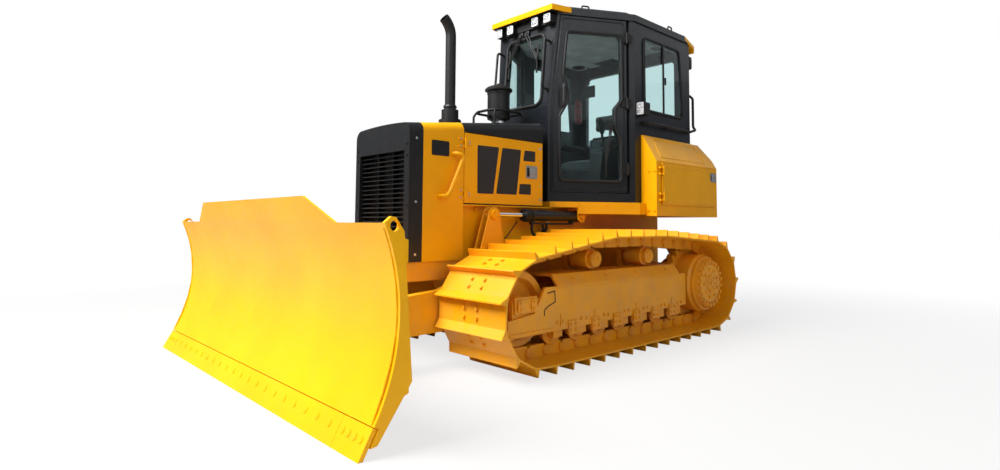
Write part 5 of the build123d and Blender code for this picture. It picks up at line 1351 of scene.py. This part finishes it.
def belt(circles):
    """Arcs and straights of a belt round circles given anticlockwise."""
    normals = []
    for (xa, za, ra), (xb, zb, rb) in zip(circles, circles[1:] + circles[:1]):
        normals.append(atan2(zb - za, xb - xa) - acos((ra - rb) / hypot(xb - xa, zb - za)))
    pieces = []
    for i, (x, z, r) in enumerate(circles):
        start, end = normals[i - 1], normals[i]
        while end < start:
            end += 2 * pi
        while end - start > 2 * pi:
            end -= 2 * pi
        xb, zb, rb = circles[(i + 1) % len(circles)]
        n = normals[i]
        pieces.append(("arc", r * (end - start), x, z, r, start))
        a, b = Vector((x + r * cos(n), z + r * sin(n))), Vector((xb + rb * cos(n), zb + rb * sin(n)))
        pieces.append(("line", (b - a).length, a, b))
    return pieces


PATH = belt(CIRCLES)


def on_path(s):
    """Point of the pin line at a length along the chain."""
    for p in PATH:
        if s <= p[1]:
            if p[0] == "arc":
                angle = p[5] + s / p[4]
                return Vector((p[2] + p[4] * cos(angle), p[3] + p[4] * sin(angle)))
            return p[2].lerp(p[3], s / p[1])
        s -= p[1]
    return on_path(s)


PINS = [on_path(i * PITCH) for i in range(SHOES)]
LINKS = []
for a, b in zip(PINS, PINS[1:] + PINS[:1]):
    along = (b - a).normalized()
    LINKS.append((a, along, Vector((along.y, -along.x))))
print("chain:", round(sum(p[1] for p in PATH), 4), "m round, links:", round(SHOES * PITCH, 4), "m")


def on_link(link, along, out, y):
    """Point at a distance along a link and out from it."""
    start, run, normal = link
    spot = start + run * along + normal * out
    return Vector((spot.x, y, spot.y))


def out_of(link):
    """Direction square to a link, away from the chain."""
    return Vector((link[2].x, 0, link[2].y))


# %% Shoe bolts, pins, bushes
PLATE_OUT = 0.049
shoe_bolts, shoe_ways = [], []
for link in LINKS:
    for along in (0.048, 0.104):
        for off in (-0.062, 0.062):
            shoe_bolts.append(on_link(link, along, PLATE_OUT, TRACK_Y + off))
            shoe_ways.append(out_of(link))
for side, sign in SIDES:
    bolts(f"shoe_bolts_{side}", sided(shoe_bolts, sign), shoe_ways, track_yellow, "machine", "steel",
          across=0.026, height=0.013)


RAIL_OUT, RAIL_IN = 0.078, 0.046
for side, sign in SIDES:
    at, ways = [], []
    for pin in PINS:
        for way in (1, -1):
            at.append(Vector((pin.x, sign * (TRACK_Y + way * (RAIL_OUT + 0.0002)), pin.y)))
            ways.append(Vector((0, sign * way, 0)))
    bosses(f"link_bosses_{side}", at, ways, frame_yellow, "machine", "steel", 0.033, 0.010)
    bm = bmesh.new()
    for pin in PINS:
        bar(bm, (pin.x, sign * (TRACK_Y - RAIL_IN + 0.0004), pin.y),
            (pin.x, sign * (TRACK_Y + RAIL_IN - 0.0004), pin.y), 0.0225, sides=14)
    piece(f"chain_bushes_{side}", bm, steel, "machine", "steel")
print("shoe bolts:", 2 * len(shoe_bolts), "pins:", 2 * len(PINS))

# %% [markdown]
# ## Running gear
# The drum outside the sprocket carries a ring of bolts round its rim and a star of bolts round the
# hub, the carrier rollers show bolted end caps, and each track roller's shaft is clamped by two bolts.
# The track frame has a bolted guide block for the idler, a lip along its side, short upright ribs, and
# a black bead painted as the shade in the stepped seam where the idler's carriage slides in it.

# %% Hub, roller and frame details
HUB = Vector((sprocket_x, 1.0352, PIN_Z + sprocket_r))


def hub_discs(bm):
    """Raised discs and the plug at the middle of the hub."""
    bar(bm, HUB, HUB + Vector((0, 0.012, 0)), 0.176, 0.170, sides=48)
    bar(bm, HUB + Vector((0, 0.012, 0)), HUB + Vector((0, 0.030, 0)), 0.082, 0.074, sides=36)
    bar(bm, HUB + Vector((0, 0.030, 0)), HUB + Vector((0, 0.038, 0)), 0.030, sides=6)


pair("hub_discs", hub_discs, frame_yellow, "machine", "steel")
bolt_pair("hub_rim_bolts", circle_points(HUB, 0.196, 21), (0, 1, 0), frame_yellow, "machine", "steel",
          across=0.034, height=0.020)
bolt_pair("hub_star_bolts", circle_points(HUB + Vector((0, 0.012, 0)), 0.125, 9), (0, 1, 0), frame_yellow,
          "machine", "steel", across=0.026, height=0.013)
bolt_pair("hub_plug_bolts", circle_points(HUB + Vector((0, 0.030, 0)), 0.055, 6), (0, 1, 0), frame_yellow,
          "machine", "steel", across=0.018, height=0.008)


def carrier_cap(bm, cap):
    """End cap of a carrier roller, with its plug."""
    bar(bm, cap, cap + Vector((0, 0.006, 0)), 0.050, 0.047, sides=32)
    bar(bm, cap + Vector((0, 0.006, 0)), cap + Vector((0, 0.014, 0)), 0.013, sides=6)


for k, x in enumerate(CARRIER_XS):
    cap = Vector((x, 0.9122, CARRIER_Z))
    bolt_pair(f"carrier_cap_bolts_{k}", circle_points(cap, 0.036, 4, start=0.6), (0, 1, 0), frame_yellow,
              "machine", "steel", across=0.016, height=0.008)
    pair(f"carrier_cap_{k}", lambda bm: carrier_cap(bm, cap), frame_yellow, "machine", "steel")
FRAME_Y = 0.9502       # just off the outer face of the track frame
ROLLERS = [0.370 - 0.266 * k for k in range(7)]
roller_bolts = [(x + d, FRAME_Y, 0.292) for x in ROLLERS for d in (-0.028, 0.028)]
bolt_pair("roller_bolts", roller_bolts, (0, 1, 0), frame_yellow, "machine", "steel", across=0.022,
          height=0.010)
guard_bolts = [(x - 0.133 + d, FRAME_Y + 0.0120, z) for x in ROLLERS[:-1] for d in (-0.026, 0.026)
               for z in (0.226, 0.268)]
bolt_pair("guard_bolts", guard_bolts, (0, 1, 0), frame_yellow, "machine", "steel", across=0.020, height=0.010)


def frame_covers(bm):
    """Idler guide block with its cap plates, the lip, the upright ribs and a wear strip."""
    block(bm, (0.612, FRAME_Y, 0.392), (0.790, FRAME_Y + 0.004, 0.478), ease=0.0015)
    block(bm, (0.596, 0.9302, 0.382), (0.806, 0.9492, 0.492), ease=0.006)
    for x in (0.640, 0.765):
        plate(bm, rounded(0.052, 0.078, 0.02, middle=(-x, 0.436)), (0, FRAME_Y + 0.004, 0), (-1, 0, 0),
              (0, 0, 1), 0.010)
    block(bm, (-1.20, FRAME_Y, 0.515), (0.42, FRAME_Y + 0.003, 0.530), ease=0.001)
    for x in (-1.10, -0.56, -0.02, 0.36):
        block(bm, (x - 0.006, FRAME_Y - 0.001, 0.262), (x + 0.006, FRAME_Y + 0.006, 0.345), ease=0.001)
    block(bm, (0.44, FRAME_Y, 0.236), (0.862, FRAME_Y + 0.008, 0.262), ease=0.003)


pair("frame_covers", frame_covers, frame_yellow, "machine", "steel")
cover_bolts = [(x, FRAME_Y + 0.014, 0.436 + dz) for x in (0.640, 0.765) for dz in (-0.022, 0.022)]
bolt_pair("guide_bolts", cover_bolts, (0, 1, 0), frame_yellow, "machine", "steel", across=0.020, height=0.009)


def frame_seam_shade(bm):
    """Black bead painted as the shade in the stepped gap where the idler's carriage slides in the frame."""
    line = [(0.500, 0.500), (0.425, 0.510), (0.420, 0.435), (0.490, 0.412), (0.530, 0.388), (0.530, 0.350)]
    weld(bm, line, FRAME_Y - 0.0002, 0.004)


# painted shade: a black bead stands for the shadow in the stepped gap of the track frame
pair("frame_seam_shade", frame_seam_shade, rubber, "machine", "plastic")
roof_points = [(x, 0.9202, 0.582) for x in (-1.05, -0.60, -0.20, 0.20)]
slope = Vector((0, 0.81, 0.587)).normalized()
bolt_pair("frame_roof_bolts", roof_points, slope, frame_yellow, "machine", "steel", across=0.020,
          height=0.009)
print("running gear ready")

# %% [markdown]
# ## Blade
# The cutting edge is held by plough bolts, whose flat round heads lie nearly flush in its face: closely
# spaced on the two end bits, and a hand's width apart on the long middle strip. The moldboard is welded
# to its end plates, so a bead runs down inside each of them. Pin heads with keeper tongues and screws
# finish the joints of the push frame.

# %% Blade fittings
EDGE_TOP, EDGE_TIP = Vector((2.170, 0, 0.124)), Vector((2.237, 0, 0.0))
EDGE_WAY = (EDGE_TIP - EDGE_TOP).normalized()
EDGE_OUT = Vector((-EDGE_WAY.z, 0, EDGE_WAY.x))
middle_ys = [-1.178 + 0.124 * k for k in range(20)]
end_ys = [s * y for s in (1, -1) for y in (1.300, 1.352, 1.404, 1.456)]
plough = [EDGE_TOP.lerp(EDGE_TIP, 0.40) + EDGE_OUT * 0.0004 + Vector((0, y, 0)) for y in middle_ys + end_ys]
bosses("plough_bolts", plough, EDGE_OUT, blade_lit_yellow, "blade", "yellow", 0.017, 0.0020)
nuts = [p - EDGE_OUT * 0.0220 for p in plough]
bolts("edge_nuts", nuts, -EDGE_OUT, steel, "blade", "steel", across=0.030, height=0.016)


WELD_LINE = [(2.166, 0.135), (2.118, 0.25), (2.078, 0.38), (2.056, 0.50), (2.0525, 0.60), (2.064, 0.73),
             (2.090, 0.85), (2.128, 0.955)]


def weld_beads(bm):
    """Beads along the end plates' inner corners."""
    for y in (1.4885, -1.4885):
        weld(bm, WELD_LINE, y, 0.005)


one("blade_welds", weld_beads, blade_lit_yellow, "blade", "yellow", 60)


def keeper(bm, x, y, z, radius, thick, reach):
    """Pin head with a keeper tongue and two screws beside it."""
    way = 1 if y > 0 else -1
    bar(bm, (x, y, z), (x, y + way * thick, z), radius, radius * 0.93, sides=32)
    bar(bm, (x, y + way * thick, z), (x, y + way * (thick + 0.006), z), radius * 0.5, sides=6)
    for p in circle_points(Vector((x, y + way * thick, z)), radius * 0.70, 4, start=0.7):
        bar(bm, p, p + Vector((0, way * 0.006, 0)), 0.0065, sides=6)
    near, far = sorted((y, y + way * 0.008))
    block(bm, (x - reach, near, z - 0.013), (x + reach, far, z + 0.013), ease=0.003)


LEVER_PIN_X, LEVER_PIN_Z = 0.525, 1.043
LIFT_Y, LIFT_Z = 0.400, 1.041        # line of the lift cylinder's barrel
LEVER_EDGES = (((0.430, 0.840), (0.472, 1.045)), ((0.375, 0.670), (0.430, 0.840)),
               ((0.668, 0.760), (0.579, 1.045)), ((0.698, 0.670), (0.668, 0.760)))


def lever_ribs(bm):
    """Weld beads and the stiffening lip down the lever plates."""
    for y in (0.4345, 0.3655):
        for edge in LEVER_EDGES:
            weld(bm, edge, y, 0.0045)
    weld(bm, ((0.372, 0.662), (0.702, 0.662)), 0.4345, 0.007)


pair("lever_pin_caps", lambda bm: keeper(bm, LEVER_PIN_X, 0.4382, LEVER_PIN_Z, 0.042, 0.016, 0.050), yellow,
     "push_frame", "yellow")
pair("lever_beads", lever_ribs, track_yellow, "push_frame", "yellow", 60)
pair("bracket_pin_caps", lambda bm: keeper(bm, -0.480, 0.4602, LIFT_Z, 0.030, 0.012, 0.045), yellow,
     "machine", "yellow")
bolt_pair("trunnion_bolts", circle_points((0.430, 0.4342, 0.470), 0.030, 4), (0, 1, 0), zinc, "machine",
          "chrome", across=0.016, height=0.006)
for k, (z, way) in enumerate(((0.5125, 1), (0.2190, -1))):
    spots = circle_points((1.700, 0, z), 0.032, 5, axis="z")
    bolts(f"kingpin_bolts_{k}", spots, Vector((0, 0, way)), zinc, "blade_carrier", "chrome",
          across=0.016, height=0.006)

# %% [markdown]
# ## Cylinders and hoses
# A lift cylinder is a black barrel with a ringed gland where the rod comes out, a thin black pipe
# along its underside and a rubber hose from each port. The hoses run from the machine at one end to
# the barrel at the other, and on the real machine each bends between the two when the cylinder swings.
# Here they are short and held at both ends, so they are modelled whole with their sag in them, and ride
# on no body.

# %% Lift cylinders
GLAND_X = 0.1862       # front face of the gland


def barrel_parts(bm):
    """Gland rings, port blocks and the gland's screws."""
    for x, long in ((0.128, 0.046), (0.106, 0.014)):
        bar(bm, (x, LIFT_Y, LIFT_Z), (x + long, LIFT_Y, LIFT_Z), 0.0520, sides=40)
    for x in (0.085, -0.395):
        block(bm, (x - 0.018, 0.384, 0.970), (x + 0.018, 0.416, 1.002), ease=0.003)
    for at in circle_points((GLAND_X, LIFT_Y, LIFT_Z), 0.040, 6, axis="x"):
        bar(bm, at, at + Vector((0.002, 0, 0)), 0.0065, sides=6)


pair("lift_barrel_rings", barrel_parts, part_black, "lift_barrel_{}", "black")
tube_pair("lift_pipe", [(0.070, 0.412, 0.978), (0.020, 0.418, 0.976), (-0.380, 0.418, 0.976)], 0.008,
          part_black, "lift_barrel_{}", "black", bend=0.02)
tube_pair("rod_wiper", circle_points((GLAND_X, LIFT_Y, LIFT_Z), 0.026, 24, axis="x"), 0.002, rubber,
          "lift_barrel_{}", "plastic", closed=True)
HOSES = [("hose_front", [(0.085, 0.398, 0.975), (0.085, 0.398, 0.905), (0.030, 0.392, 0.868),
                         (-0.060, 0.372, 0.868), (-0.115, 0.345, 0.905), (-0.120, 0.314, 0.930)], 0.0125),
         ("hose_rear", [(-0.020, 0.418, 0.972), (-0.045, 0.408, 0.925), (-0.090, 0.380, 0.900),
                        (-0.150, 0.345, 0.950), (-0.165, 0.314, 0.985)], 0.0105)]
for name, line, radius in HOSES:
    for side, sign in SIDES:
        points = sided(line, sign)
        hose = tube(f"{name}_{side}", points, radius, hose_rubber, "machine", "plastic", bend=0.08, sides=4)
        hose.parent = None
        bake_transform(hose)


def hose_ends(bm):
    """Hexagons and sleeves where the hoses meet the engine frame."""
    for x, z, r in ((-0.120, 0.930, 0.019), (-0.165, 0.985, 0.016)):
        bar(bm, (x, 0.3105, z), (x, 0.332, z), r, r * 0.9, sides=6)
        bar(bm, (x, 0.330, z), (x, 0.346, z), r * 0.82, sides=20)


pair("hose_ends", hose_ends, zinc, "machine", "chrome")
tube_pair("grease_line", [(0.175, 0.3135, 0.995), (0.190, 0.330, 0.985), (0.300, 0.330, 0.870),
                          (0.318, 0.3135, 0.855)], 0.0045, hose_rubber, "machine", "plastic", bend=0.02)


def eye_rings(bm):
    """Shoulders of the rod's eye beside the lever plates."""
    for y in (0.379, 0.421):
        bar(bm, (LEVER_PIN_X, y - 0.0015, LEVER_PIN_Z), (LEVER_PIN_X, y + 0.0015, LEVER_PIN_Z), 0.044,
            sides=32)


pair("rod_eye_rings", eye_rings, steel, "lift_rod_{}", "steel")
print("cylinders and hoses ready")

# %% [markdown]
# ## Padded seat
# The seat is foam under woven cloth: a cushion, a back and a headrest, each crowned, with sides that
# pull in between the corners. Each starts a little small, is remeshed to even cells and is blown up by
# a cloth simulation with inner pressure, then held to the room that its solid takes. Sewn channels are
# pressed in afterwards, as the remesh would lose them, and piping is laid on the finished surface.

# %% Padded seat
VOXEL, PRESSURE, STEPS = 0.007, 4.0, 20


def points_of(mesh):
    """Places of a mesh's vertices, a row each."""
    co = np.empty(len(mesh.vertices) * 3)
    mesh.vertices.foreach_get("co", co)
    return co.reshape(-1, 3)


def blown(obj, cap):
    """Swell a closed mesh with a short cloth simulation, and cap how far a point moves."""
    start = points_of(obj.data)
    cloth = obj.modifiers.new("cloth", "CLOTH")
    cloth.settings.use_pressure, cloth.settings.uniform_pressure_force = True, PRESSURE
    cloth.settings.effector_weights.gravity = 0
    cloth.settings.quality = 4
    cloth.collision_settings.use_collision = False
    for step in range(1, STEPS + 1):
        bpy.context.scene.frame_set(step)
    end = points_of(evaluated(obj))
    obj.modifiers.remove(cloth)
    bpy.context.scene.frame_set(1)
    move = end - start
    far = np.maximum(np.linalg.norm(move, axis=1), 1e-9)
    return start + move * np.minimum(1, cap / far)[:, None]


def pad(name, low, high, room, cap, channels, node=None):
    """A cushion that fills the room of its solid, with sewn channels (axis, place, push axis)."""
    bm = bmesh.new()
    block(bm, low, high, ease=0.028)
    obj = from_bmesh(name, bm)
    remesh = obj.modifiers.new("remesh", "REMESH")
    remesh.mode, remesh.voxel_size = "VOXEL", VOXEL
    even = evaluated(obj)
    obj.modifiers.remove(remesh)
    obj.data = even
    co = blown(obj, cap)
    co = np.clip(co, np.array(room[0]) + 0.001, np.array(room[1]) - 0.001)
    middle, half = (np.array(low) + high) / 2, (np.array(high) - low) / 2
    for axis, place, push, way in channels:
        near = np.exp(-((co[:, axis] - place) / 0.007) ** 2)
        facing = np.clip((co[:, push] - middle[push]) * way / half[push], 0, 1)
        co[:, push] -= way * 0.012 * near * facing
    even.vertices.foreach_set("co", co.ravel())
    smooth = obj.modifiers.new("smooth", "SUBSURF")
    smooth.levels = smooth.render_levels = 1
    obj.data = evaluated(obj)
    obj.modifiers.remove(smooth)
    obj.data.name = name
    settle(obj, seat_cloth, "machine", "cloth", 60)
    if node:
        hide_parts(node)
    return obj


def piping(name, obj, outline):
    """Welt of covered cord, laid on the pad's surface."""
    tree = BVHTree.FromPolygons([v.co for v in obj.data.vertices], [p.vertices for p in obj.data.polygons])
    line = [tree.find_nearest(Vector(p))[0] for p in outline]
    tube(name, line, 0.0035, plastic, "machine", "plastic", closed=True)


seat_low, seat_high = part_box("seat_cushion")
back_low, back_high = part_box("seat_back")
cushion = pad("seat_pad", seat_low + Vector((0.022, 0.022, 0.004)), seat_high - Vector((0.022, 0.022, 0.026)),
              (seat_low, seat_high), 0.026, [(0, -1.06, 2, 1), (0, -1.22, 2, 1), (1, 0.15, 2, 1),
                                             (1, -0.15, 2, 1)], "seat_cushion")
top = seat_high.z - 0.012
piping("seat_welt", cushion, [(x - 1.14, y, top) for x, y in rounded(0.462, 0.482, 0.06)])
rest_low = Vector((back_low.x + 0.016, back_low.y + 0.022, back_low.z + 0.020))
rest_high = Vector((back_high.x - 0.022, back_high.y - 0.022, 1.885))
backrest = pad("back_pad", rest_low, rest_high, (back_low, Vector((back_high.x, back_high.y, 1.912))), 0.024,
               [(2, 1.56, 0, 1), (2, 1.72, 0, 1), (1, 0.14, 0, 1), (1, -0.14, 0, 1)], "seat_back")
piping("back_welt", backrest, [(back_high.x - 0.010, y, z) for y, z in
                               rounded(0.448, 0.452, 0.06, middle=(0, 1.660))])
head = pad("head_pad", Vector((rest_low.x, -0.125, 1.945)), Vector((rest_high.x, 0.125, 2.108)),
           (Vector((back_low.x, -0.150, 1.925)), Vector((back_high.x, 0.150, back_high.z))), 0.022,
           [(2, 2.03, 0, 1)])
print("pads:", [len(o.data.polygons) for o in (cushion, backrest, head)], "blown")


SEAT_FOOT = face((-1.150, 0, 0), (1, 0, 0), (0, 1, 0))


def seat_frame(bm):
    """Shell behind the back, headrest posts, side rails and the suspension's skirt rings."""
    block(bm, (-1.500, -0.215, 1.440), (-1.481, 0.215, 1.900), ease=0.008)
    for y in (-0.06, 0.06):
        bar(bm, (-1.437, y, 1.890), (-1.437, y, 1.960), 0.007)
    for sign in (1, -1):
        block(bm, (-1.420, sign * 0.262 - 0.006, 1.485), (-0.960, sign * 0.262 + 0.006, 1.525), ease=0.004)
    line, inner = rounded(0.424, 0.424, 0.04), rounded(0.400, 0.400, 0.035)
    for k in range(6):
        z = 1.215 + 0.042 * k
        stacked(bm, SEAT_FOOT, ((inner, z - 0.012), (line, z - 0.004), (line, z + 0.004), (inner, z + 0.012)))


one("seat_frame", seat_frame, plastic, "machine", "plastic")
belt_line = [Vector((-1.20, 0.258, 1.520)), Vector((-1.15, 0.235, 1.612)), Vector((-1.10, 0.120, 1.616)),
             Vector((-1.10, 0.0, 1.614))]


def seat_belt(bm):
    """Flat lap belt, lying across the cushion, with its buckle."""
    for a, b in zip(belt_line, belt_line[1:]):
        way = Vector((0.023, 0, 0))
        strip = bm.faces.new([bm.verts.new(p) for p in (a - way, a + way, b + way, b - way)])
        thicker = bmesh.ops.extrude_face_region(bm, geom=[strip])["geom"]
        raised = [g for g in thicker if isinstance(g, bmesh.types.BMVert)]
        bmesh.ops.translate(bm, vec=(0, 0, 0.002), verts=raised)
    block(bm, (-1.128, -0.030, 1.612), (-1.072, 0.030, 1.630), ease=0.004)


pair("seat_belt", seat_belt, part_black, "machine", "black")

# %% [markdown]
# ## Inside the cab
# Through the windows one sees a grey headliner with round speakers and a vent, two consoles with
# armrests, levers in rubber gaiters, a small screen, pedals, a floor mat and a red extinguisher. The
# screen and the levers carry no lettering. All of it is built small but solid, with eased edges.

# %% Cab interior
ROOF_IN = [(-0.335, 0.275), (-0.915, 0.650), (-1.785, 0.650), (-1.785, -0.650), (-0.915, -0.650),
           (-0.335, -0.275)]


def headliner(bm):
    """Lining of the roof in two steps."""
    plate(bm, ring_line(ROOF_IN, 0.05), (0, 0, 2.770), (1, 0, 0), (0, 1, 0), 0.012)
    plate(bm, ring_line([(x * 0.94 - 0.06, y * 0.86) for x, y in ROOF_IN], 0.08), (0, 0, 2.758), (1, 0, 0),
          (0, 1, 0), 0.012)


def roof_vents(bm):
    """Round speakers and the slats of a vent."""
    for sign in (1, -1):
        bar(bm, (-1.62, sign * 0.52, 2.752), (-1.62, sign * 0.52, 2.760), 0.070, 0.078, sides=36)
        bar(bm, (-0.80, sign * 0.40, 2.752), (-0.80, sign * 0.40, 2.760), 0.050, 0.056, sides=36)
    for k in range(9):
        y = -0.29 + 0.030 * k
        block(bm, (-1.78, y, 2.750), (-1.60, y + 0.020, 2.760), ease=0.002)


one("headliner", headliner, pale_plastic, "machine", "plastic")
one("roof_vents", roof_vents, plastic, "machine", "plastic")


def floor_mat(bm):
    outline = [(-0.262, 0.262), (-0.915, 0.640), (-1.780, 0.640), (-1.780, -0.640), (-0.915, -0.640),
               (-0.262, -0.262)]
    plate(bm, ring_line(outline, 0.04), (0, 0, 1.1855), (1, 0, 0), (0, 1, 0), 0.008)


one("floor_mat", floor_mat, mat_rubber, "machine", "plastic")


def console_tops(bm):
    """Armrest, side pocket and switch row on a console."""
    block(bm, (-1.440, 0.275, 1.748), (-1.090, 0.385, 1.800), ease=0.018)
    block(bm, (-1.330, 0.315, 1.715), (-1.230, 0.345, 1.755), ease=0.004)
    block(bm, (-1.060, 0.270, 1.700), (-0.860, 0.390, 1.712), ease=0.004,
          place=turned((-0.96, 0.33, 1.706), 10, "Y"))
    for k in range(4):
        block(bm, (-1.070 + 0.030 * k, 0.365, 1.716), (-1.052 + 0.030 * k, 0.385, 1.728), ease=0.002)


def gaiters(bm):
    """Rubber bellows, stem and shaped grip of a control lever."""
    base = Vector((-0.960, 0.325, 1.705))
    for k in range(5):
        a, b = base + Vector((0, 0, 0.012 * k)), base + Vector((0, 0, 0.012 * k + 0.012))
        bar(bm, a, b, 0.046 - 0.006 * k, 0.038 - 0.006 * k, sides=24)
    tip = base + Vector((0.035, -0.004, 0.245))
    bar(bm, base + Vector((0, 0, 0.05)), base + Vector((0.015, 0, 0.13)), 0.008)
    bar(bm, base + Vector((0.015, 0, 0.125)), tip, 0.020, 0.027, sides=20)
    bar(bm, tip, tip + Vector((0.004, 0, 0.030)), 0.028, 0.018, sides=20)


pair("console_tops", console_tops, plastic, "machine", "plastic")
pair("control_levers", gaiters, rubber, "machine", "plastic")


def pedals(bm):
    """Two pedals on their arms, and the dashboard behind them."""
    for y in (-0.09, 0.10):
        block(bm, (-0.470, y - 0.045, 1.262), (-0.380, y + 0.045, 1.274), ease=0.004,
              place=turned((-0.42, y, 1.268), -38, "Y"))
        bar(bm, (-0.405, y, 1.262), (-0.330, y, 1.200), 0.009)
    block(bm, (-0.315, -0.250, 1.193), (-0.262, 0.250, 1.560), ease=0.012)
    block(bm, (-0.345, -0.235, 1.560), (-0.245, 0.235, 1.930), ease=0.025)


MONITOR = Matrix.Translation((-0.500, -0.300, 1.985)) @ Matrix.Rotation(radians(30), 4, "Z")


def screen_stalk(bm):
    """Stalk and housing of the small screen."""
    bar(bm, (-0.470, -0.290, 1.560), (-0.500, -0.300, 1.920), 0.012)
    bar(bm, (-0.300, -0.245, 1.560), (-0.470, -0.290, 1.565), 0.012)
    block(bm, (-0.018, -0.115, -0.075), (0.018, 0.115, 0.075), ease=0.010, place=MONITOR)


def screen_glass(bm):
    block(bm, (-0.0205, -0.098, -0.058), (-0.0175, 0.098, 0.058), ease=0.001, place=MONITOR)


BOTTLE_X, BOTTLE_Y = -1.700, -0.592


def extinguisher(bm):
    """Red bottle of the extinguisher."""
    x, y = BOTTLE_X, BOTTLE_Y
    bar(bm, (x, y, 2.140), (x, y, 2.360), 0.042, sides=32)
    bar(bm, (x, y, 2.360), (x, y, 2.400), 0.042, 0.018, sides=32)
    bar(bm, (x, y, 2.130), (x, y, 2.140), 0.038, sides=32)


def extinguisher_top(bm):
    """Neck, lever, two straps and the bracket behind the bottle."""
    x, y = BOTTLE_X, BOTTLE_Y
    bar(bm, (x, y, 2.398), (x, y, 2.440), 0.014)
    block(bm, (x - 0.012, y - 0.012, 2.436), (x + 0.080, y + 0.012, 2.450), ease=0.003)
    for z in (2.20, 2.31):
        bar(bm, (x, y, z), (x, y, z + 0.014), 0.0445, sides=32)
    block(bm, (x - 0.020, y - 0.082, 2.12), (x + 0.020, y - 0.042, 2.36), ease=0.003)


one("pedals_and_dash", pedals, plastic, "machine", "plastic")
one("screen_stalk", screen_stalk, plastic, "machine", "plastic")
one("screen_glass", screen_glass, clear_glass, "machine", "glass")
one("extinguisher", extinguisher, red_enamel, "machine", "black")
one("extinguisher_top", extinguisher_top, part_black, "machine", "black")
print("cab interior ready")
